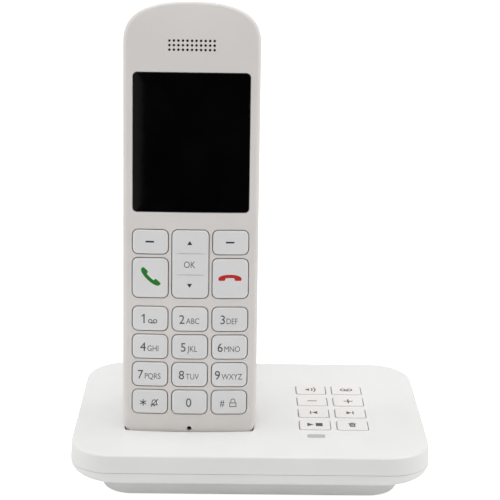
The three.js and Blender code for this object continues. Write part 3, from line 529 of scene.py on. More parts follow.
def turned(profile, x=0, y=0):
    """A solid turned about Z, from pairs of radius and height that start and end on the axis."""
    return loft([[Vector((u, v, height)) for u, v in circle(radius, x, y)] for radius, height in profile])


def pillar(radius, low, high, middle):
    """An upright cylinder between two heights."""
    return turned([(0, low), (radius, low), (radius, high), (0, high)], *middle)


def box_mesh(low, high):
    corners = ((low[0], low[1]), (high[0], low[1]), (high[0], high[1]), (low[0], high[1]))
    return loft([[Vector((x, y, z)) for x, y in corners] for z in (low[2], high[2])])


def add_piece(name, mesh, place, body, material, slot, nodes=()):
    """Places a mesh drawn in millimetres, attaches it to its body, and hides the CAD nodes that it stands
    for.
    """
    mesh.transform(place @ Matrix.Scale(MM, 4))
    mesh.materials.clear()
    mesh.materials.append(material)
    mesh.shade_smooth()
    mesh.set_sharp_from_angle(angle=SHARP_ANGLE)
    mesh.name = name
    piece = add_object(name, mesh)
    piece.modifiers.new("weighted", "WEIGHTED_NORMAL").keep_sharp = True
    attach(piece, body)
    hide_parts(*nodes)


# Materials

def linear(colour):
    """A colour given as 0 to 255 in sRGB, as the linear values that shaders take."""
    channels = [value / 255 for value in colour]
    return [c / 12.92 if c <= 0.04045 else ((c + 0.055) / 1.055) ** 2.4 for c in channels] + [1]


def new_material(name):
    material = bpy.data.materials.new(name)
    material.use_nodes = True
    nodes = material.node_tree.nodes
    return material, nodes, material.node_tree.links, nodes["Principled BSDF"]


def add_node(nodes, kind, values):
    """A shader node of a kind, with some of its inputs set."""
    node = nodes.new("ShaderNode" + kind)
    for name, value in values.items():
        node.inputs[name].default_value = value
    return node


def noise(nodes, links, scale, detail=2, stretch=(1, 1, 1)):
    """A noise texture on the object's own coordinates; scale is in turns per metre."""
    place = nodes.new("ShaderNodeTexCoord")
    mapping = add_node(nodes, "Mapping", {"Scale": stretch})
    texture = add_node(nodes, "TexNoise", {"Scale": scale, "Detail": detail})
    links.new(place.outputs["Object"], mapping.inputs["Vector"])
    links.new(mapping.outputs["Vector"], texture.inputs["Vector"])
    return texture.outputs["Fac"]


def spread(nodes, links, source, low, high, part=NOISE_RANGE):
    """A part of a value's range, such as a noise's middle, spread over low to high."""
    values = {"From Min": part[0], "From Max": part[1], "To Min": low, "To Max": high}
    ranged = add_node(nodes, "MapRange", values)
    links.new(source, ranged.inputs["Value"])
    return ranged.outputs["Result"]


def mixed(nodes, links, factor, dark, light):
    mix = nodes.new("ShaderNodeMix")
    mix.data_type = "RGBA"
    mix.inputs["A"].default_value = linear(dark)
    mix.inputs["B"].default_value = linear(light)
    links.new(factor, mix.inputs["Factor"])
    return mix.outputs["Result"]


def shade_between(nodes, links, source, dark, light):
    return mixed(nodes, links, spread(nodes, links, source, 0, 1), dark, light)


def add_bump(nodes, links, shader, layers):
    """Bumps from several noises: each layer is a source, a height in millimetres and a strength."""
    last = None
    for source, height, strength in layers:
        bump = add_node(nodes, "Bump", {"Distance": height * MM, "Strength": strength})
        links.new(source, bump.inputs["Height"])
        if last is not None:
            links.new(last, bump.inputs["Normal"])
        last = bump.outputs["Normal"]
    links.new(last, shader.inputs["Normal"])


def plastic(name, colour, roughness, texture=0.25, grain=0.02, contrast=3):
    """Moulded plastic: a spark-eroded grain, a slow waviness, and faint handling marks in the gloss."""
    material, nodes, links, shader = new_material(name)
    dark = [value - contrast for value in colour]
    light = [min(255, value + contrast) for value in colour]
    clouds = noise(nodes, links, CLOUDS, 4)
    links.new(shade_between(nodes, links, clouds, dark, light), shader.inputs["Base Color"])
    marks = noise(nodes, links, MARKS, 5)
    links.new(spread(nodes, links, marks, roughness - 0.06, roughness + 0.06), shader.inputs["Roughness"])
    fine = noise(nodes, links, 1 / (texture * MM), 3)
    slow = noise(nodes, links, WAVINESS, 1)
    add_bump(nodes, links, shader, [(slow, 0.02, 0.5), (fine, grain, 0.6)])
    return material


def display_glass(name):
    material, nodes, links, shader = new_material(name)
    smears = noise(nodes, links, SMEARS, 5, (1, 1, 0.5))
    links.new(shade_between(nodes, links, smears, (3, 3, 4), (7, 7, 9)), shader.inputs["Base Color"])
    dust = noise(nodes, links, DUST, 6)
    links.new(spread(nodes, links, dust, 0.05, 0.1), shader.inputs["Roughness"])
    shader.inputs["IOR"].default_value = 1.49
    slow = noise(nodes, links, GLASS_WAVINESS, 1)
    add_bump(nodes, links, shader, [(slow, 0.004, 0.25)])
    return material


def metal(name, colour, roughness, stretch):
    """Plated metal with fine drawing lines along one direction."""
    material, nodes, links, shader = new_material(name)
    shader.inputs["Metallic"].default_value = 1
    lines = noise(nodes, links, DRAWN_LINES, 4, stretch)
    dark = [value - 14 for value in colour]
    links.new(shade_between(nodes, links, lines, dark, colour), shader.inputs["Base Color"])
    links.new(spread(nodes, links, lines, roughness - 0.08, roughness + 0.1), shader.inputs["Roughness"])
    add_bump(nodes, links, shader, [(lines, 0.01, 0.3)])
    return material


def ink(name, colour):
    """Printed ink, a little uneven."""
    material, nodes, links, shader = new_material(name)
    patches = noise(nodes, links, INK_PATCHES, 3)
    dark = [max(0, value - 8) for value in colour]
    links.new(shade_between(nodes, links, patches, dark, colour), shader.inputs["Base Color"])
    shader.inputs["Roughness"].default_value = 0.55
    add_bump(nodes, links, shader, [(patches, 0.005, 0.3)])
    return material


def rubber(name, colour, speckle):
    material, nodes, links, shader = new_material(name)
    grain = noise(nodes, links, RUBBER_GRAIN, 5)
    light = [value + speckle for value in colour]
    links.new(shade_between(nodes, links, grain, colour, light), shader.inputs["Base Color"])
    shader.inputs["Roughness"].default_value = 0.85
    add_bump(nodes, links, shader, [(grain, 0.05, 0.7)])
    return material


def circuit_board(name):
    """Green solder mask over copper tracks, which show as a paler net, with a fine weave below."""
    material, nodes, links, shader = new_material(name)
    place = nodes.new("ShaderNodeTexCoord")
    cells = add_node(nodes, "TexVoronoi", {"Scale": TRACKS})
    cells.feature = "DISTANCE_TO_EDGE"
    links.new(place.outputs["Object"], cells.inputs["Vector"])
    tracks = spread(nodes, links, cells.outputs["Distance"], 1, 0, TRACK_EDGE)
    links.new(mixed(nodes, links, tracks, (22, 78, 46), (58, 128, 72)), shader.inputs["Base Color"])
    shader.inputs["Roughness"].default_value = 0.35
    weave = noise(nodes, links, BOARD_WEAVE, 2)
    add_bump(nodes, links, shader, [(tracks, 0.03, 0.5), (weave, 0.01, 0.3)])
    return material


BASE_WHITE = plastic("base_plastic", (243, 243, 241), 0.42, grain=0.015, contrast=2)
HANDSET_WHITE = plastic("handset_plastic", (235, 230, 226), 0.4, grain=0.015, contrast=2)
KEY_WHITE = plastic("key_plastic", (238, 237, 237), 0.38, texture=0.18, grain=0.01, contrast=2)
MESSAGE_WHITE = plastic("message_key_plastic", (244, 241, 238), 0.42, texture=0.18, grain=0.01, contrast=2)
BLACK = plastic("black_plastic", (38, 38, 40), 0.5, grain=0.02, contrast=5)
GLASS = display_glass("display_glass")
STEEL = metal("plated_steel", (214, 212, 206), 0.26, (1, 1, 0.05))
GOLD = metal("gold_contact", (226, 190, 112), 0.25, (1, 0.05, 1))
SLEEVE = plastic("cell_sleeve", (66, 132, 84), 0.3, texture=0.6, grain=0.01, contrast=6)
SLEEVE_LIGHT = plastic("cell_sleeve_band", (226, 228, 222), 0.3, texture=0.6, grain=0.01, contrast=3)
BOARD = circuit_board("circuit_board")
SILICONE = rubber("silicone", (150, 152, 155), 10)
RUBBER = rubber("foot_rubber", (52, 52, 54), 14)
GAUZE_CLOTH = rubber("gauze_cloth", (10, 10, 11), 8)
LIGHT_PIPE = plastic("light_pipe", (196, 196, 196), 0.35, texture=0.8, grain=0.01, contrast=2)
INK_GREY = ink("ink_grey", (74, 75, 80))
INK_DARK = ink("ink_dark", (44, 44, 54))
INK_PALE = ink("ink_pale", (104, 104, 108))
INK_BROWN = ink("ink_brown", (92, 88, 84))
INK_GREEN = ink("ink_green", (2, 132, 26))
INK_RED = ink("ink_red", (205, 24, 12))


# Handset casing

def handset_ring(reach, inset, depth_at):
    """A ring round the handset at a reach between its spine and its outline."""
    half = half_width - inset

    def end_power(value):
        return math.copysign(abs(value) ** (2 / END_POWER), value)

    points = []
    turns = [math.pi * i / END_STEPS for i in range(END_STEPS + 1)]
    for turn in turns:
        height = spine_high + reach * (TOP_ROUND - inset) * end_power(math.sin(turn))
        points.append((-half * end_power(math.cos(turn)), height))
    for i in range(1, SPINE_STEPS):
        points.append((half, spine_high + (spine_low - spine_high) * i / SPINE_STEPS))
    for turn in turns:
        height = spine_low - reach * (BOTTOM_ROUND - inset) * end_power(math.sin(turn))
        points.append((half * end_power(math.cos(turn)), height))
    for i in range(1, SPINE_STEPS):
        points.append((-half, spine_low + (spine_high - spine_low) * i / SPINE_STEPS))
    return [Vector((reach * x, depth_at(z), z)) for x, z in points]


def face_rings(inset):
    return [handset_ring(reach, inset, lambda z, r=reach: face_depth(r) + inset) for reach in FACE_REACHES]


def back_rings(inset):
    return [handset_ring(reach, inset, lambda z, r=reach: back_depth(r, z, inset)) for reach in BACK_REACHES]


def outline_ring(inset, depth):
    return handset_ring(1, inset, lambda z: depth)


def handset_form(inset):
    return loft(face_rings(inset) + back_rings(inset))


def key_size(node, place, radius, upright):
    """Middle and size of a key's cap, from its CAD node, whose flange reaches past the cap."""
    low, high = local_box(node, place)
    return middle_of(low, high, upright), size_of(low, high, radius, upright, FLANGE_MARGIN)


NUMBER_KEYS = ["key_" + name for name in ("1", "2", "3", "4", "5", "6", "7", "8", "9", "star", "0", "hash")]
HANDSET_KEYS = NUMBER_KEYS + ["soft_key_left", "soft_key_right", "call_key", "end_key", "nav_key"]
handset_keys = {node: key_size(node, HANDSET, KEY_RADIUS, 2) for node in HANDSET_KEYS}

window_low, window_high = local_box("display_window", HANDSET)
window_middle = (0, (window_low.z + window_high.z) / 2)
window_size = size_of(window_low, window_high, WINDOW_RADIUS, 2)
earpiece_z = window_high.z + ABOVE_WINDOW


def shape_of(size, middle, extra=0):
    return lambda margin: outline(size, middle[0], middle[1], margin + extra)


def round_shape(radius, x=0, y=0, steps=ROUND_STEPS):
    return lambda margin: circle(radius + margin, x, y, steps)


def make_front_casing():
    low_edge = seam - GAP / 2
    tongue_end = low_edge + TONGUE["depth"]
    rings = face_rings(0)
    rings.append(outline_ring(0, low_edge))
    rings.append(outline_ring(TONGUE["outside"], low_edge))
    rings.append(outline_ring(TONGUE["outside"], tongue_end))
    rings.append(outline_ring(HANDSET_WALL, tongue_end))
    rings += reversed(face_rings(HANDSET_WALL))
    tools = []
    for node, (middle, size) in handset_keys.items():
        tools.append(opening(on_face, shape_of(size, middle, GAP), seam))
    for x in row(GRILLE_COLUMNS, GRILLE_PITCH):
        for z in row(GRILLE_ROWS, GRILLE_PITCH):
            hole = round_shape(GRILLE_HOLE, x, earpiece_z + z, GRILLE_STEPS)
            tools.append(opening(on_face, hole, seam, edge=GRILLE_EDGE))
    tools.append(opening(on_face, round_shape(MIC_HOLE, 0, MIC_HEIGHT), seam, edge=MIC_EDGE))
    ledge_shape = shape_of(window_size, window_middle, GAP / 2)
    ledge = opening(on_face, ledge_shape, WINDOW_THICKNESS + GAP, edge=WINDOW_EDGE)
    inner = {key: window_size[key] - 2 * WINDOW_LEDGE for key in ("width", "height")}
    through_shape = outline({**inner, "radius": LEDGE_RADIUS}, *window_middle)
    through = loft([[on_face(u, v, depth, 0) for u, v in through_shape] for depth in (-1, seam)])
    steps = [("DIFFERENCE", join_meshes(tools)), ("DIFFERENCE", ledge), ("DIFFERENCE", through)]
    mesh = combine(loft(rings), steps)
    nodes = ["handset_front_shell"]
    add_piece("front_casing", mesh, HANDSET, "handset", HANDSET_WHITE, "handset_casing", nodes)


bay_low, bay_high = local_box("battery_left", HANDSET)
right_low, right_high = local_box("battery_right", HANDSET)
cover_low, cover_high = local_box("battery_cover", HANDSET)
cover_middle = (0, (cover_low.z + cover_high.z) / 2)
cover_size = size_of(cover_low, cover_high, COVER_RADIUS, 2)
bridge_low, _ = local_box("battery_contact_bridge", HANDSET)
_, contact_high = local_box("battery_contact_left", HANDSET)
ringer_low, ringer_high = local_box("ringer_speaker", HANDSET)
ringer_z = (ringer_low.z + ringer_high.z) / 2


def conforming_block(shape, outer_depth, inner_depth):
    """A block between two depths that both follow the handset's back."""
    rings = list(reversed(top_rings(on_back, shape, inner_depth, BLOCK_STEPS)))
    rings.append([on_back(u, v, inner_depth) for u, v in shape(0)])
    rings.append([on_back(u, v, outer_depth) for u, v in shape(0)])
    rings += top_rings(on_back, shape, outer_depth, BLOCK_STEPS)
    return loft(rings)


def make_rear_casing():
    front_edge = seam + GAP / 2
    rebate = TONGUE["outside"] - GAP
    rebate_end = front_edge + TONGUE["depth"] + GAP
    rings = list(reversed(back_rings(HANDSET_WALL)))
    rings.append(outline_ring(HANDSET_WALL, rebate_end))
    rings.append(outline_ring(rebate, rebate_end))
    rings.append(outline_ring(rebate, front_edge))
    rings.append(outline_ring(0, front_edge))
    rings += back_rings(0)[1:]
    bay_half = right_high.x + GAP
    bay_floor = bay_low.y - GAP
    bay_z = (bridge_low.z - GAP / 2, contact_high.z + GAP / 2)
    outside = 2 * thickest
    block = box_mesh(
        (-bay_half - BAY_WALL, bay_floor - BAY_FLOOR, bay_z[0] - BAY_WALL),
        (bay_half + BAY_WALL, outside, bay_z[1] + BAY_WALL),
    )
    block = combine(block, [("INTERSECT", handset_form(HANDSET_WALL / 2))])
    bay = box_mesh((-bay_half, bay_floor, bay_z[0]), (bay_half, outside, bay_z[1]))
    cover_shape = shape_of(cover_size, cover_middle, GAP)
    recess = conforming_block(cover_shape, -COVER_RECESS, COVER_WALL + GAP)
    rim = opening(on_back, cover_shape, COVER_WALL / 2, 1, edge=COVER_MOUTH_EDGE)
    slots = []
    for shift in row(RINGER_SLOTS, RINGER_PITCH):
        slots.append(opening(on_back, shape_of(RINGER_SLOT, (0, ringer_z + shift)), HANDSET_WALL + 1, 1))
    ways = []
    for side in ("left", "right"):
        low, high = local_box("charge_pad_" + side, HANDSET)
        grown_low = low - Vector((GAP, GAP, 2 * GAP + 1))
        ways.append(box_mesh(grown_low, high + Vector((GAP, GAP, 0))))
    steps = [("UNION", block), ("DIFFERENCE", bay), ("DIFFERENCE", recess), ("DIFFERENCE", rim)]
    steps += [("DIFFERENCE", join_meshes(slots)), ("DIFFERENCE", join_meshes(ways))]
    mesh = combine(loft(rings), steps)
    nodes = ["handset_rear_shell"]
    add_piece("rear_casing", mesh, HANDSET, "handset", HANDSET_WHITE, "handset_casing", nodes)


def make_battery_cover():
    """The cover, with a nail notch at its lower edge and grip ribs above it."""
    shape = shape_of(cover_size, cover_middle)
    rings = list(reversed(top_rings(on_back, shape, COVER_WALL, COVER_STEPS)))
    rings.append([on_back(u, v, COVER_WALL) for u, v in shape(0)])
    rings.append([on_back(u, v, COVER_WALL / 2) for u, v in shape(0)])
    for margin, depth in rounded_edge(COVER_EDGE)[1:]:
        rings.append([on_back(u, v, depth) for u, v in shape(-margin)])
    rings += top_rings(on_back, lambda margin: shape(margin - COVER_EDGE), 0, COVER_STEPS)
    low_edge = cover_middle[1] - cover_size["height"] / 2
    notch_shape = circle(NAIL_NOTCH, 0, low_edge - NAIL_NOTCH / 2)
    notch = loft([[on_back(u, v, depth, 0) for u, v in notch_shape] for depth in (seam, 2 * thickest)])
    grooves = []
    for i in range(GRIP["count"]):
        groove = {**GRIP, "width": GRIP["width"] - GRIP["narrows"] * i}
        middle = (0, low_edge + GRIP["low"] + GRIP["pitch"] * i)
        grooves.append(opening(on_back, shape_of(groove, middle), GRIP_DEPTH, 1, edge=GRIP_EDGE))
    mesh = combine(loft(rings), [("DIFFERENCE", notch), ("DIFFERENCE", join_meshes(grooves))])
    nodes = ["battery_cover"]
    add_piece("back_cover", mesh, HANDSET, "battery_cover", HANDSET_WHITE, "handset_casing", nodes)


def make_handset_keys():
    for node, (middle, size) in handset_keys.items():
        flange_back = local_box(node, HANDSET)[1].y
        front = flange_back - FLANGE_THICKNESS
        mesh = cap(on_face, shape_of(size, middle), KEY_PROUD, KEY_EDGE, front, (front, flange_back))
        steps = []
        if node == "key_5":
            nib = shape_of(NIB, (middle[0], middle[1] - NIB_BELOW))
            steps.append(("UNION", cap(on_face, nib, KEY_PROUD + NIB_PROUD, NIB_EDGE, front)))
        if node == "nav_key":
            for side in (-1, 1):
                line = shape_of(NAV_LINE, (middle[0], middle[1] + side * NAV_LINE_OFFSET))
                groove = opening(on_face, line, 0, 1, edge=NAV_LINE_EDGE, surface_depth=-KEY_PROUD)
                steps.append(("DIFFERENCE", groove))
        if steps:
            mesh = combine(mesh, steps)
        add_piece(node + "_cap", mesh, HANDSET, node, KEY_WHITE, "key_plastic", [node])


def make_gauze():
    """Dark gauze behind the earpiece's and the microphone's holes."""
    size = {
        "width": GRILLE_COLUMNS * GRILLE_PITCH + GAUZE["beyond"],
        "height": GRILLE_ROWS * GRILLE_PITCH + GAUZE["beyond"],
        "radius": GAUZE["beyond"],
    }
    front = HANDSET_WALL + GAUZE["behind"]
    shapes = {
        "earpiece_gauze": shape_of(size, (0, earpiece_z)),
        "microphone_gauze": round_shape(MIC_HOLE + GAUZE["beyond"], 0, MIC_HEIGHT),
    }
    for name, shape in shapes.items():
        rings = list(reversed(top_rings(on_face, shape, front + GAUZE["thickness"])))
        rings.append([on_face(u, v, front + GAUZE["thickness"]) for u, v in shape(0)])
        rings.append([on_face(u, v, front) for u, v in shape(0)])
        rings += top_rings(on_face, shape, front)
        add_piece(name, loft(rings), HANDSET, "handset", GAUZE_CLOTH, "black_plastic")


def make_window():
    shape = shape_of(window_size, window_middle)
    mesh = cap(on_face, shape, 0, WINDOW_EDGE, WINDOW_THICKNESS)
    add_piece("display_glass_pane", mesh, HANDSET, "handset", GLASS, "display_glass", ["display_window"])


# Legends: flat shapes as points and faces, laid on a surface as thin closed solids

def polygon(points, holes=()):
    loops = [[Vector((x, y, 0)) for x, y in loop] for loop in (points, *holes)]
    flat = [(point.x, point.y) for loop in loops for point in loop]
    return flat, [tuple(face) for face in tessellate_polygon(loops)]


def merged(parts):
    points, faces = [], []
    for part_points, part_faces in parts:
        offset = len(points)
        points += part_points
        faces += [tuple(index + offset for index in face) for face in part_faces]
    return points, faces


def placed(part, x=0, y=0, scale=1, turn=0):
    cosine, sine = scale * math.cos(turn), scale * math.sin(turn)
    points = [(x + cosine * u - sine * v, y + sine * u + cosine * v) for u, v in part[0]]
    return points, part[1]


def bar(width, height, x=0, y=0):
    corners = [(-1, -1), (1, -1), (1, 1), (-1, 1)]
    return polygon([(x + width / 2 * i, y + height / 2 * j) for i, j in corners])


def ring(radius, line, x=0, y=0):
    return polygon(circle(radius, x, y, 28), [circle(radius - line, x, y, 28)])


def arc_band(radius, line, start, end, x=0, y=0):
    turns = [math.radians(start + (end - start) * i / 14) for i in range(15)]
    outer = [(x + radius * math.cos(t), y + radius * math.sin(t)) for t in turns]
    inner = [(x + (radius - line) * math.cos(t), y + (radius - line) * math.sin(t)) for t in reversed(turns)]
    return polygon(outer + inner)


def softened(points, times=2):
    """The polygon with its corners cut off, a few times over, which rounds them."""
    for _ in range(times):
        cut = []
        for (x0, y0), (x1, y1) in zip(points, points[1:] + points[:1]):
            cut.append((0.8 * x0 + 0.2 * x1, 0.8 * y0 + 0.2 * y1))
            cut.append((0.2 * x0 + 0.8 * x1, 0.2 * y0 + 0.8 * y1))
        points = cut
    return points


def lettering(text, height, squeeze):
    """Flat letters of a cap height, their left edge and baseline at the origin."""
    curve = bpy.data.curves.new("lettering", "FONT")
    curve.body = text
    curve.resolution_u = 4
    carrier = add_object("lettering", curve)
    graph = bpy.context.evaluated_depsgraph_get()
    mesh = bpy.data.meshes.new_from_object(carrier.evaluated_get(graph))
    work = bmesh.new()
    work.from_mesh(mesh)
    bmesh.ops.remove_doubles(work, verts=work.verts, dist=1e-5)
    work.verts.index_update()
    scale = height / CAP_HEIGHT
    left = min(vertex.co.x for vertex in work.verts)
    points = [((vertex.co.x - left) * scale * squeeze, vertex.co.y * scale) for vertex in work.verts]
    faces = [tuple(vertex.index for vertex in face.verts) for face in work.faces]
    work.free()
    bpy.data.objects.remove(carrier)
    bpy.data.curves.remove(curve)
    bpy.data.meshes.remove(mesh)
    return points, faces


def width_of(part):
    return max(x for x, _ in part[0]) - min(x for x, _ in part[0])


def side_by_side(parts, space):
    """Parts in a row, centred on the origin."""
    total = sum(width_of(part) for part in parts) + space * (len(parts) - 1)
    x = -total / 2
    row = []
    for part in parts:
        left = min(u for u, _ in part[0])
        row.append(placed(part, x - left))
        x += width_of(part) + space
    return row


def digit_one():
    stem = [(0.23, 0), (0.23, DIGIT_HEIGHT), (-0.1, DIGIT_HEIGHT)]
    flag = [(-0.95, 0.8 * DIGIT_HEIGHT), (-0.95, 0.67 * DIGIT_HEIGHT), (-0.22, 0.83 * DIGIT_HEIGHT)]
    flag.append((-0.22, 0))
    return polygon(stem + flag)


def voicemail_icon(width, line):
    radius = width / 4 - line / 8
    loops = [ring(radius, line, side * (width / 2 - radius), radius) for side in (-1, 1)]
    return merged([*loops, bar(width - 2 * radius, line, 0, line / 2)])


def bell_icon():
    dome = arc_band(0.95, 0.28, 0, 180, 0, 1.75)
    sides = [bar(0.28, 1.0, side * 0.81, 1.28) for side in (-1, 1)]
    slash = placed(bar(4.0, 0.3), 0.05, 1.45, 1, math.radians(48))
    return merged([dome, *sides, bar(2.7, 0.28, 0, 0.72), bar(0.7, 0.3, 0, 0.3), slash])


def lock_icon():
    outside = [(-1.3, 0), (1.3, 0), (1.3, 1.7), (-1.3, 1.7)]
    inside = [(-1.02, 0.28), (1.02, 0.28), (1.02, 1.42), (-1.02, 1.42)]
    shackle = arc_band(0.9, 0.28, 0, 180, 0, 2.3)
    legs = [bar(0.28, 0.65, side * 0.76, 2.0) for side in (-1, 1)]
    return merged([polygon(outside, [inside]), shackle, *legs])


def star_icon():
    arms = [placed(bar(2.5, 0.34), 0, 0, 1, math.radians(angle)) for angle in (90, 30, 150)]
    return merged(arms)


def receiver_icon():
    """A telephone receiver lying on its side, its ends pointing down."""
    right = [(0, 1.5), (1.6, 1.42), (3.0, 1.12), (3.95, 0.66), (4.27, 0.1), (4.3, -0.8)]
    right += [(1.75, -0.8), (1.72, 0.05), (1.3, 0.22), (0, 0.26)]
    left = [(-x, y) for x, y in reversed(right[1:-1])]
    return polygon(softened(right + left))


def triangle(width, height, turn):
    flat = polygon([(-width / 2, -height / 2), (width / 2, -height / 2), (0, height / 2)])
    return placed(flat, 0, 0, 1, math.radians(turn))


def loudspeaker_icon():
    horn = polygon([(-2, -0.55), (-1.4, -0.55), (-0.7, -1.2), (-0.7, 1.2), (-1.4, 0.55), (-2, 0.55)])
    waves = [arc_band(radius, 0.5, -42, 42, -1.2, 0) for radius in (2, 3.2)]
    return merged([horn, *waves])


def skip_icon(turn):
    arrow = placed(triangle(2.5, 2.0, 90), 0.45)
    return placed(merged([arrow, bar(0.5, 2.5, -1.1)]), 0, 0, 1, math.radians(turn))


def play_stop_icon():
    return merged([placed(triangle(2.9, 2.4, -90), -1.7), bar(2.6, 2.7, 1.6)])


def bin_icon():
    can = polygon(
        [(-0.95, -1.7), (0.95, -1.7), (1.25, 0.9), (-1.25, 0.9)],
        [[(x - 0.1, -1.25), (x + 0.1, -1.25), (x + 0.1, 0.5), (x - 0.1, 0.5)] for x in (-0.5, 0, 0.5)],
    )
    return merged([can, bar(3.0, 0.36, 0, 1.28), bar(1.1, 0.34, 0, 1.65)])


def sliced(points, faces):
    """The flat shape cut into narrow strips, so that it can follow a curved key."""
    work = bmesh.new()
    corners = [work.verts.new((x, y, 0)) for x, y in points]
    for face in faces:
        work.faces.new([corners[index] for index in face])
    left = min(x for x, _ in points)
    right = max(x for x, _ in points)
    strips = math.ceil((right - left) / STRIP)
    for i in range(1, strips):
        everything = work.verts[:] + work.edges[:] + work.faces[:]
        place = (left + (right - left) * i / strips, 0, 0)
        bmesh.ops.bisect_plane(work, geom=everything, plane_co=place, plane_no=(1, 0, 0), dist=1e-6)
    work.verts.index_update()
    flat = [(vertex.co.x, vertex.co.y) for vertex in work.verts]
    strips_faces = [tuple(vertex.index for vertex in face.verts) for face in work.faces]
    work.free()
    return flat, strips_faces


def lay_legend(name, parts, surface, middle, level, place, body, material, slot):
    """Flat parts on a surface at a level over it, as one thin solid each."""
    points, faces = sliced(*merged(parts))
    count = len(points)
    over = level + INK
    top = [surface(middle[0] + u, middle[1] + v, -over) for u, v in points]
    bottom = [surface(middle[0] + u, middle[1] + v, INK_SUNK - level) for u, v in points]
    sides = {}
    for face in faces:
        for a, b in zip(face, face[1:] + face[:1]):
            sides[(a, b)] = sides.get((a, b), 0) + 1
    walls = [(a, b, b + count, a + count) for a, b in sides if (b, a) not in sides]
    solid_faces = list(faces) + [tuple(i + count for i in reversed(face)) for face in faces]
    solid_faces += [(a, a + count, b + count, b) for a, b, _, _ in walls]
    mesh = bpy.data.meshes.new(name)
    mesh.from_pydata([tuple(point) for point in top + bottom], [], solid_faces)
    work = bmesh.new()
    work.from_mesh(mesh)
    bmesh.ops.recalc_face_normals(work, faces=work.faces)
    work.to_mesh(mesh)
    work.free()
    add_piece(name, mesh, place, body, material, slot)


NUMBER_LETTERS = {
    "key_2": "ABC", "key_3": "DEF", "key_4": "GHI", "key_5": "JKL",
    "key_6": "MNO", "key_7": "PQRS", "key_8": "TUV", "key_9": "WXYZ",
}


def number_legend(node):
    """The dark and the pale parts of a number key's legend."""
    if node == "key_star":
        star, bell = side_by_side([star_icon(), bell_icon()], SPACE["star"])
        return [placed(star, 0, STAR_RISE), placed(bell, 0, BELL_RISE)], []
    if node == "key_hash":
        sign = lettering("#", HASH_HEIGHT, SQUEEZE["hash"])
        sign, lock = side_by_side([sign, lock_icon()], SPACE["hash"])
        return [placed(sign, 0, HASH_RISE)], [lock]
    digit = digit_one() if node == "key_1" else lettering(node[-1], DIGIT_HEIGHT, SQUEEZE["digit"])
    if node == "key_0":
        return side_by_side([digit], 0), []
    if node == "key_1":
        icon = voicemail_icon(VOICEMAIL["width"], VOICEMAIL["line"])
        parts = side_by_side([digit, icon], SPACE["voicemail"])
    else:
        letters = lettering(NUMBER_LETTERS[node], LETTER_HEIGHT, SQUEEZE["letters"])
        parts = side_by_side([digit, letters], SPACE["letters"])
    return [parts[0]], [parts[1]]


def make_handset_legends():
    def lay(node, suffix, parts, offset, material):
        middle = handset_keys[node][0]
        place = (middle[0] + offset[0], middle[1] + offset[1])
        name = node + "_" + suffix
        lay_legend(name, parts, on_face, place, KEY_PROUD, HANDSET, node, material, "key_plastic")

    for node in NUMBER_KEYS:
        dark, pale = number_legend(node)
        lay(node, "legend", dark, (LEGEND_SHIFT, BASELINE), INK_GREY)
        if pale:
            lay(node, "letters", pale, (LEGEND_SHIFT, BASELINE), INK_PALE)
    for node in ("soft_key_left", "soft_key_right"):
        lay(node, "legend", [bar(DASH["width"], DASH["height"])], DASH_PLACE, INK_DARK)
    for end, turn in (("up", 0), ("down", 180)):
        arrow = triangle(ARROW["width"], ARROW["height"], turn)
        lay("nav_key", "arrow_" + end, [arrow], (LEGEND_SHIFT, ARROW[end]), INK_DARK)
    confirm = side_by_side([lettering("OK", OK_HEIGHT, SQUEEZE["ok"])], 0)
    lay("nav_key", "ok", confirm, (LEGEND_SHIFT, OK_BASELINE), INK_PALE)
    receiver = receiver_icon()
    lay("end_key", "legend", [receiver], HANG_UP_PLACE, INK_RED)
    raised = placed(receiver, 0, 0, CALL_SCALE, CALL_TURN)
    lay("call_key", "legend", [raised], CALL_PLACE, INK_GREEN)


# Cells, pads, pins and small handset pieces

def make_cells():
    """Each cell has a sleeve with a pale band, and steel ends."""
    for side, low, high in (("left", bay_low, bay_high), ("right", right_low, right_high)):
        radius = (high.x - low.x) / 2
        half = (high.z - low.z) / 2
        up = 1 if side == "left" else -1
        turned_over = Matrix.Scale(up, 4, Vector((0, 0, 1)))
        centre = Matrix.Translation((low + high) / 2)
        band_high = half - CELL_SHOULDER
        band_low = band_high - CELL_BAND
        sleeve = [(0, SLEEVE_FOLD[0][1] - half)]
        sleeve += [(radius - inward, height - half) for inward, height in SLEEVE_FOLD]
        sleeve += [(radius, band_low), (0, band_low)]
        band = [(0, band_low + PARTED), (radius, band_low + PARTED)]
        band += [(radius - inward, band_high - drop) for inward, drop in BAND_FOLD]
        band.append((0, band_high))
        negative = [(0, -half)]
        negative += [(radius - inward, height - half) for inward, height in NEGATIVE_END]
        negative.append((0, NEGATIVE_END[1][1] - half))
        positive = [(0, band_high + PARTED), (radius - NEGATIVE_END[1][0], band_high + PARTED)]
        positive.append((radius - NUB_RIM, half - NUB[0][1]))
        positive += [(nub_radius, half - drop) for nub_radius, drop in NUB]
        positive.append((0, half))
        for name, profile, material, slot, nodes in (
            ("sleeve", sleeve, SLEEVE, "cell_sleeve", ["battery_" + side]),
            ("band", band, SLEEVE_LIGHT, "cell_sleeve", []),
            ("negative_end", negative, STEEL, "plated_steel", []),
            ("positive_end", positive, STEEL, "plated_steel", []),
        ):
            mesh = turned(profile)
            mesh.transform(centre @ turned_over)
            if up < 0:
                mesh.flip_normals()
            add_piece("cell_" + side + "_" + name, mesh, HANDSET, "handset", material, slot, nodes)


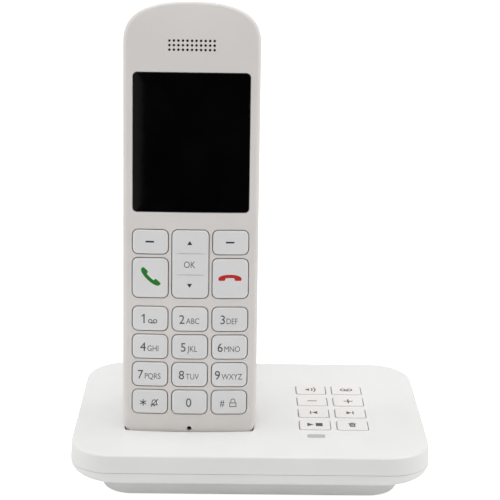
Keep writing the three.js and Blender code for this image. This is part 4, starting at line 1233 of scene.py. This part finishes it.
def make_pads():
    """Charging pads: plates whose showing face has rounded edges."""
    for side in ("left", "right"):
        node = "charge_pad_" + side
        low, high = local_box(node, HANDSET)
        shape = shape_of(size_of(low, high, PAD_RADIUS), middle_of(low, high))

        def surface(u, v, depth, follow=1):
            return Vector((u, v, low.z + depth))

        mesh = cap(surface, shape, 0, PAD_EDGE, high.z - low.z)
        add_piece(node + "_plate", mesh, HANDSET, "handset", STEEL, "plated_steel", [node])


def make_pins():
    for side in ("left", "right"):
        node = "charge_pin_" + side
        low, high = local_box(node, HANDSET)
        flange = (high.x - low.x) / 2
        flange_top = pocket_floor - POCKET_WALL - GAP
        flange_low = flange_top - FLANGE_THICKNESS
        profile = [(0, low.z), (PIN_RADIUS - PIN_EDGE, low.z), (PIN_RADIUS, low.z + PIN_EDGE)]
        profile += [(PIN_RADIUS, flange_low), (flange, flange_low), (flange, flange_top)]
        profile.append((PIN_RADIUS, flange_top))
        dome = PIN_RADIUS * PIN_DOME
        for i in range(PIN_STEPS):
            turn = math.pi / 2 * i / PIN_STEPS
            profile.append((PIN_RADIUS * math.cos(turn), high.z - dome + dome * math.sin(turn)))
        profile.append((0, high.z))
        mesh = turned(profile, *middle_of(low, high))
        add_piece(node + "_tip", mesh, HANDSET, node, STEEL, "plated_steel", [node])


# Base

def base_ring(half, radius, height_at):
    points = []
    for quarter in range(4):
        sign_x = 1 if quarter in (0, 3) else -1
        sign_y = 1 if quarter < 2 else -1
        for i in range(BASE_CORNER_STEPS + 1):
            angle = math.pi / 2 * (quarter + i / BASE_CORNER_STEPS)
            x = sign_x * (half[0] - radius) + radius * math.cos(angle)
            y = sign_y * (half[1] - radius) + radius * math.sin(angle)
            points.append(Vector((x, y, height_at(y))))
    return points


def tray_ring(inset, radius, height_at):
    return base_ring((base_half[0] - inset, base_half[1] - inset), radius, height_at)


def pedestal_ring(inset, height):
    half = (pedestal_half[0] - inset, pedestal_half[1] - inset)
    return base_ring(half, PEDESTAL_CORNER - inset, lambda y: height)


def level(height):
    return lambda y: height


def under(drop):
    return lambda y: deck_height(y) - drop


def throat(depth):
    """Half the handset's width where its rounded lower end passes the deck, at a depth behind its face."""
    passing = max(0, depth) * (HANDSET.inverted() @ DECK).to_3x3().col[1].z
    over = min(1, max(0, spine_low - passing) / BOTTOM_ROUND)
    return half_width * (1 - over**END_POWER) ** (1 / END_POWER)


def handset_section(gap):
    """Section across the handset where it passes the deck, grown by a gap."""
    face = [(reach, face_depth(reach) - gap) for reach in FACE_REACHES]
    back = [(reach, back_depth(reach, SECTION_HEIGHT, -gap)) for reach in BACK_REACHES]
    face = [(reach * (throat(depth) + gap), depth) for reach, depth in face]
    back = [(reach * (throat(depth) + gap), depth) for reach, depth in back]
    right = face + back[1:]
    left = [(-x, depth) for x, depth in reversed(right[1:-1])]
    return right + left


def pocket_ring(gap, depth):
    """The handset's section, slid along the handset to a depth under the deck."""
    to_deck = DECK.inverted() @ HANDSET
    ring_points = []
    for x, y in handset_section(gap):
        foot = to_deck @ (Vector((x, y, 0)) * MM)
        step = (to_deck.to_3x3() @ Vector((0, 0, 1))).z
        slide = (-depth - foot.z / MM) / step
        ring_points.append(Vector((x, y, slide)))
    return ring_points


def level_section(gap, z):
    return [Vector((x, y, z)) for x, y in handset_section(gap)]


def to_base(mesh, place):
    """A mesh drawn in another frame's millimetres, in the base's millimetres."""
    matrix = place.copy()
    matrix.translation = place.translation / MM
    mesh.transform(matrix)
    return mesh


MESSAGE_KEYS = ["message_key_" + name for name in (
    "play", "delete", "back", "forward", "quieter", "louder", "loudspeaker", "machine",
)]
message_keys = {node: key_size(node, DECK, MESSAGE_RADIUS, 1) for node in MESSAGE_KEYS}
light_low, light_high = local_box("indicator_light_pipe", DECK)
light_size = size_of(light_low, light_high, LIGHT_RADIUS)
light_middle = middle_of(light_low, light_high)
SCREWS = ("base_screw_front", "base_screw_rear")
FEET = ("foot_front_left", "foot_front_right", "foot_rear_left", "foot_rear_right")


def socket_openings():
    boxes = []
    for node in SOCKET_WIRES:
        low, high = local_box(node, BASE)
        margin = Vector((GAP, GAP, GAP))
        boxes.append(box_mesh(low - margin, high + margin + Vector((0, BEYOND, 0))))
    return join_meshes(boxes)


def back_rest():
    """The tongue that the handset leans on, with rounded edges, drawn in the handset's frame."""
    rear = thickness_at(REST_HEIGHT) + SLOT_GAP + REST_THICKNESS

    def tongue(inset):
        half = REST_WIDTH / 2 - inset
        radius = REST_RADIUS - inset
        top = REST_HEIGHT - inset
        points = [(half, -BASE_WALL)]
        for quarter, side in enumerate((1, -1)):
            for i in range(REST_STEPS + 1):
                angle = math.pi / 2 * (quarter + i / REST_STEPS)
                x = side * (half - radius) + radius * math.cos(angle)
                points.append((x, top - radius + radius * math.sin(angle)))
        points.append((-half, -BASE_WALL))
        return points

    rings = [[Vector((x, seam, z)) for x, z in tongue(0)]]
    for margin, depth in rounded_edge(REST_EDGE, WIDE_EDGE_STEPS):
        rings.append([Vector((x, rear - depth, z)) for x, z in tongue(margin)])
    return loft(rings)


def make_base_top():
    fillet = [tray_ring(0, BASE_CORNER, level(SEAM_HEIGHT + BASE_SEAM_GAP / 2))]
    for margin, depth in rounded_edge(DECK_FILLET, WIDE_EDGE_STEPS):
        fillet.append(tray_ring(BASE_DRAFT + margin, BASE_CORNER - margin, under(depth)))
    hollow_inset = BASE_WALL + BASE_DRAFT
    hollow = loft([
        tray_ring(BASE_WALL, BASE_CORNER - BASE_WALL, level(SEAM_HEIGHT - BEYOND)),
        tray_ring(hollow_inset, BASE_CORNER - hollow_inset, under(BASE_WALL)),
    ])
    wrap = to_base(loft([
        level_section(SLOT_GAP + POCKET_WALL, pocket_floor - POCKET_WALL),
        pocket_ring(SLOT_GAP + POCKET_WALL, BASE_WALL / 2),
    ]), HANDSET)
    pocket_rings = [level_section(SLOT_GAP, pocket_floor)]
    for margin, depth in rounded_edge(LIP_EDGE, KEY_EDGE_STEPS):
        pocket_rings.append(pocket_ring(SLOT_GAP + margin, depth))
    pocket_rings.append(pocket_ring(SLOT_GAP + LIP_EDGE, -1))
    pocket = to_base(loft(pocket_rings), HANDSET)
    pin_holes = []
    bosses = []
    boss_holes = []
    for side in ("left", "right"):
        middle = middle_of(*local_box("charge_pin_" + side, HANDSET))
        hole = pillar(PIN_RADIUS + GAP, pocket_floor - BEYOND, pocket_floor + BEYOND, middle)
        pin_holes.append(to_base(hole, HANDSET))
    for node in SCREWS:
        low, high = local_box(node, BASE)
        middle = middle_of(low, high)
        top = deck_height(middle[1])
        foot = high.z - (high.z - low.z) * TOP_BOSS["holds"]
        bosses.append(pillar(TOP_BOSS["outer"], foot, top - TOP_BOSS["into_deck"], middle))
        boss_holes.append(pillar(TOP_BOSS["inner"], 0, top - TOP_BOSS["roof"], middle))
    holes = []
    for node, (middle, size) in message_keys.items():
        holes.append(opening(on_deck, shape_of(size, middle, GAP), 2 * BEYOND, edge=MESSAGE_HOLE_EDGE))
    light_shape = shape_of(light_size, light_middle, GAP / 2)
    holes.append(opening(on_deck, light_shape, 2 * BEYOND, edge=LIGHT_HOLE_EDGE))
    deck_holes = to_base(join_meshes(holes), DECK)
    clearance = to_base(handset_form(-SLOT_GAP), HANDSET)
    steps = [
        ("DIFFERENCE", hollow),
        ("UNION", wrap),
        ("UNION", join_meshes(bosses)),
        ("UNION", to_base(back_rest(), HANDSET)),
        ("DIFFERENCE", pocket),
        ("DIFFERENCE", clearance),
        ("DIFFERENCE", join_meshes(pin_holes)),
        ("DIFFERENCE", deck_holes),
        ("DIFFERENCE", join_meshes(boss_holes)),
        ("DIFFERENCE", socket_openings()),
    ]
    mesh = combine(loft(fillet), steps)
    add_piece("base_top_casing", mesh, BASE, "base", BASE_WHITE, "base_casing", ["base_top_shell"])


def make_base_bottom():
    pedestal_floor = FOOT_STAND + BASE_WALL
    tray_floor = TRAY_HEIGHT + BASE_WALL
    rings = []
    for margin, depth in reversed(rounded_edge(PEDESTAL_ROUND, WIDE_EDGE_STEPS)):
        rings.append(pedestal_ring(PEDESTAL_DRAFT + margin, FOOT_STAND + depth))
    rings += [pedestal_ring(inset, TRAY_HEIGHT - drop) for inset, drop in PEDESTAL_NECK]
    belly_top = SEAM_HEIGHT - BASE_SEAM_GAP / 2 - TRAY_HEIGHT
    for i in range(BELLY_STEPS + 1):
        share = i / BELLY_STEPS
        inset = BELLY_INSET * (1 - math.sqrt(1 - (1 - share) ** 2))
        radius = BELLY_CORNER + (BASE_CORNER - BELLY_CORNER) * share
        rings.append(tray_ring(inset, radius, level(TRAY_HEIGHT + share * belly_top)))
    seam_level = level(SEAM_HEIGHT - BASE_SEAM_GAP / 2)
    tongue_level = level(SEAM_HEIGHT + TONGUE["depth"] + BASE_TONGUE["rise"])
    tongue_out = BASE_WALL + GAP
    tongue_in = tongue_out + BASE_TONGUE["thickness"]
    rings += [
        tray_ring(BASE_WALL, BASE_CORNER - BASE_WALL, seam_level),
        tray_ring(tongue_out, BASE_CORNER - tongue_out, seam_level),
        tray_ring(tongue_out, BASE_CORNER - tongue_out, tongue_level),
        tray_ring(tongue_in, BASE_CORNER - tongue_in, tongue_level),
        tray_ring(tongue_in, BASE_CORNER - tongue_in, level(tray_floor + BASE_TONGUE["foot"])),
        tray_ring(BASE_WALL + BELLY_INSET, BELLY_CORNER - BASE_WALL, level(tray_floor)),
        pedestal_ring(BASE_WALL, tray_floor),
        pedestal_ring(BASE_WALL, pedestal_floor),
    ]
    bosses, heads, shanks, feet, slots = [], [], [], [], []
    for node in SCREWS:
        low, high = local_box(node, BASE)
        middle = middle_of(low, high)
        head = (high.x - low.x) / 2 + GAP
        head_top = low.z + SCREW_HEAD + GAP
        bosses.append(pillar(head + BOSS_WALL, BOSS_FOOT, head_top + BASE_WALL, middle))
        countersink = [(head + beyond, height) for beyond, height in COUNTERSINK]
        heads.append(turned([(0, 0), *countersink, (head, head_top), (0, head_top)], *middle))
        shanks.append(pillar(SHANK_HOLE, 0, 2 * TRAY_HEIGHT, middle))
    for node in FEET:
        low, high = local_box(node, BASE)
        feet.append(pillar((high.x - low.x) / 2 + GAP, 0, high.z + GAP, middle_of(low, high)))
    speaker = middle_of(*local_box("base_speaker", BASE))
    for shift in row(SPEAKER_SLOTS, SPEAKER_PITCH):
        shape = shape_of(SPEAKER_SLOT, (-speaker[0], speaker[1] + shift))
        slots.append(opening(under_base, shape, TRAY_HEIGHT, edge=SPEAKER_EDGE, surface_depth=FOOT_STAND))
    steps = [
        ("UNION", join_meshes(bosses)),
        ("DIFFERENCE", join_meshes(heads)),
        ("DIFFERENCE", join_meshes(shanks)),
        ("DIFFERENCE", join_meshes(feet)),
        ("DIFFERENCE", join_meshes(slots)),
        ("DIFFERENCE", socket_openings()),
    ]
    mesh = combine(loft(rings), steps)
    add_piece("base_bottom_casing", mesh, BASE, "base", BASE_WHITE, "base_casing", ["base_bottom_shell"])


def make_message_keys():
    for node, (middle, size) in message_keys.items():
        flange_back = -local_box(node, DECK)[0].z
        front = flange_back - FLANGE_THICKNESS
        mesh = cap(on_deck, shape_of(size, middle), MESSAGE_PROUD, MESSAGE_EDGE, front, (front, flange_back))
        add_piece(node + "_cap", mesh, DECK, node, MESSAGE_WHITE, "message_key_plastic", [node])


def make_message_legends():
    icons = {
        "message_key_loudspeaker": loudspeaker_icon(),
        "message_key_machine": placed(voicemail_icon(5.0, 0.5), 0, -1.1),
        "message_key_quieter": bar(3.6, 0.55),
        "message_key_louder": merged([bar(3.6, 0.55), bar(0.55, 1.5, 0, 1.03), bar(0.55, 1.5, 0, -1.03)]),
        "message_key_back": skip_icon(0),
        "message_key_forward": skip_icon(180),
        "message_key_play": play_stop_icon(),
        "message_key_delete": bin_icon(),
    }
    for node, icon in icons.items():
        middle = message_keys[node][0]
        name = node + "_legend"
        slot = "message_key_plastic"
        lay_legend(name, [icon], on_deck, middle, MESSAGE_PROUD, DECK, node, INK_BROWN, slot)


def make_light_pipe():
    mesh = cap(on_deck, shape_of(light_size, light_middle), 0, LIGHT_EDGE, -light_low.z)
    add_piece("indicator_lens", mesh, DECK, "base", LIGHT_PIPE, "light_pipe", ["indicator_light_pipe"])


def make_feet():
    for node in FEET:
        low, high = local_box(node, BASE)
        radius = (high.x - low.x) / 2
        profile = [(0, 0), *((radius - inward, height) for inward, height in FOOT_PROFILE)]
        profile += [(radius, high.z), (0, high.z)]
        mesh = turned(profile, *middle_of(low, high))
        add_piece(node + "_pad", mesh, BASE, "base", RUBBER, "foot_rubber", [node])


def make_screws():
    """Pan-head screws with a cross recess and a threaded shank."""
    shank = THREAD["radius"]
    root = shank - THREAD["depth"]
    reach, half = CROSS["reach"], CROSS["half"]
    for node in SCREWS:
        low, high = local_box(node, BASE)
        x, y = middle_of(low, high)
        head = (high.x - low.x) / 2
        neck = low.z + SCREW_HEAD
        profile = [(0, low.z), *((head - inward, low.z + up) for inward, up in SCREW_HEAD_PROFILE)]
        profile += [(head, neck), (shank, neck)]
        height = neck + THREAD["start"]
        while height < high.z - THREAD["tip"]:
            profile += [(root, height), (shank, height + THREAD["pitch"] / 2)]
            height += THREAD["pitch"]
        profile += [(root, height), (THREAD["point"], high.z), (0, high.z)]
        steps = []
        for wide, deep in ((reach, half), (half, reach)):
            bottom = low.z + CROSS["depth"]
            bar_mesh = box_mesh((x - wide, y - deep, low.z - 1), (x + wide, y + deep, bottom))
            steps.append(("DIFFERENCE", bar_mesh))
        mesh = combine(turned(profile, x, y), steps)
        add_piece(node + "_fine", mesh, BASE, "base", STEEL, "plated_steel", [node])


def make_socket_contacts():
    """Spring wires that slope down inside each socket's mouth."""
    for node, count in SOCKET_WIRES.items():
        low, high = local_box(node, BASE)
        middle = (low.x + high.x) / 2
        rear = low.y + WIRE_START[0]
        top = high.z - WIRE_START[1]
        side = [(rear + inward, top - drop) for inward, drop in WIRE_SIDE]
        for i, shift in enumerate(row(count, WIRE_PITCH)):
            x = middle + shift
            rings = [[Vector((x + half, y, z)) for y, z in side] for half in (-WIRE_HALF, WIRE_HALF)]
            name = node + "_contact_" + str(i + 1)
            add_piece(name, loft(rings), BASE, "base", GOLD, "plated_steel")


# CAD nodes that stay: their own shape, with a proper finish
KEPT_NODES = {
    "line_socket": BLACK, "power_socket": BLACK, "base_speaker": BLACK, "earpiece_speaker": BLACK,
    "ringer_speaker": BLACK, "microphone": BLACK, "display_module": BLACK, "nav_plunger": BLACK,
    "base_circuit_board": BOARD, "handset_circuit_board": BOARD, "keypad_membrane": SILICONE,
    "message_key_mat": SILICONE, "battery_contact_bridge": STEEL, "battery_contact_left": STEEL,
    "battery_contact_right": STEEL,
}


def finish_kept_nodes():
    for node, material in KEPT_NODES.items():
        mesh = frame["nodes"][node].data
        mesh.materials.clear()
        mesh.materials.append(material)


# Stage: camera, floor and lights

def make_camera():
    forward = Vector((
        math.sin(CAMERA_YAW) * math.cos(CAMERA_PITCH),
        math.cos(CAMERA_YAW) * math.cos(CAMERA_PITCH),
        -math.sin(CAMERA_PITCH),
    ))
    right = Vector((math.cos(CAMERA_YAW), -math.sin(CAMERA_YAW), 0))
    above = right.cross(forward)
    side = math.cos(CAMERA_ROLL) * right + math.sin(CAMERA_ROLL) * above
    top = math.cos(CAMERA_ROLL) * above - math.sin(CAMERA_ROLL) * right
    data = bpy.data.cameras.new("camera")
    data.lens = CAMERA_LENS
    data.sensor_width = SENSOR_WIDTH
    camera = add_object("camera", data)
    camera.matrix_world = axes_frame(side, top, -forward, CAMERA_PLACE)
    bpy.context.scene.camera = camera


def add_light(name, place, target, size, power):
    data = bpy.data.lights.new(name, "AREA")
    data.shape = "RECTANGLE"
    data.size, data.size_y = size
    data.energy = power
    light = add_object(name, data)
    light.location = place
    light.rotation_mode = "QUATERNION"
    light.rotation_quaternion = (Vector(target) - Vector(place)).to_track_quat("-Z", "Y")
    light.visible_camera = False


def make_floor():
    mesh = bpy.data.meshes.new("floor")
    work = bmesh.new()
    bmesh.ops.create_circle(work, cap_ends=True, segments=FLOOR_STEPS, radius=FLOOR_RADIUS)
    work.to_mesh(mesh)
    work.free()
    floor = add_object("floor", mesh)
    material, nodes, links, shader = new_material("floor_paper")
    fibres = noise(nodes, links, FIBRES, 3)
    paper = shade_between(nodes, links, fibres, (250, 250, 250), (252, 252, 252))
    links.new(paper, shader.inputs["Base Color"])
    shader.inputs["Roughness"].default_value = 0.9
    shader.inputs["Specular IOR Level"].default_value = 0.1
    shader.inputs["Emission Color"].default_value = (1, 1, 1, 1)
    seen = brightness_for_camera(nodes, links, 0, FLOOR_GLOW)
    links.new(seen, shader.inputs["Emission Strength"])
    mesh.materials.append(material)


def brightness_for_camera(nodes, links, otherwise, seen):
    """One strength for rays from the camera, and another for all other rays."""
    rays = nodes.new("ShaderNodeLightPath")
    return spread(nodes, links, rays.outputs["Is Camera Ray"], otherwise, seen, (0, 1))


def make_flag():
    """A dark card in front of the phone, which only the display's glass mirrors."""
    mesh = bpy.data.meshes.new("dark_flag")
    corners = [(x, FLAG["y"], z) for z in (FLAG["low"], FLAG["top"]) for x in (FLAG["left"], FLAG["right"])]
    mesh.from_pydata(corners, [], [(0, 1, 3, 2)])
    flag = add_object("dark_flag", mesh)
    material, _, _, shader = new_material("flag_cloth")
    shader.inputs["Base Color"].default_value = (0.002, 0.002, 0.002, 1)
    shader.inputs["Roughness"].default_value = 1
    shader.inputs["Specular IOR Level"].default_value = 0
    mesh.materials.append(material)
    flag.visible_camera = False
    flag.visible_diffuse = False
    flag.visible_shadow = False


def make_lighting():
    world = bpy.data.worlds.new("studio")
    bpy.context.scene.world = world
    world.use_nodes = True
    nodes, links = world.node_tree.nodes, world.node_tree.links
    background = nodes["Background"]
    background.inputs["Color"].default_value = (0.98, 0.99, 1, 1)
    links.new(brightness_for_camera(nodes, links, SKY_LIGHT, 1), background.inputs["Strength"])
    for name, settings in LIGHTS.items():
        add_light(name, *settings)
    bpy.context.scene.view_settings.view_transform = "Standard"


make_camera()
make_floor()
make_flag()
make_lighting()
make_front_casing()
make_rear_casing()
make_battery_cover()
make_handset_keys()
make_gauze()
make_window()
make_handset_legends()
make_cells()
make_pads()
make_pins()
make_base_top()
make_base_bottom()
make_message_keys()
make_message_legends()
make_light_pipe()
make_feet()
make_screws()
make_socket_contacts()
finish_kept_nodes()
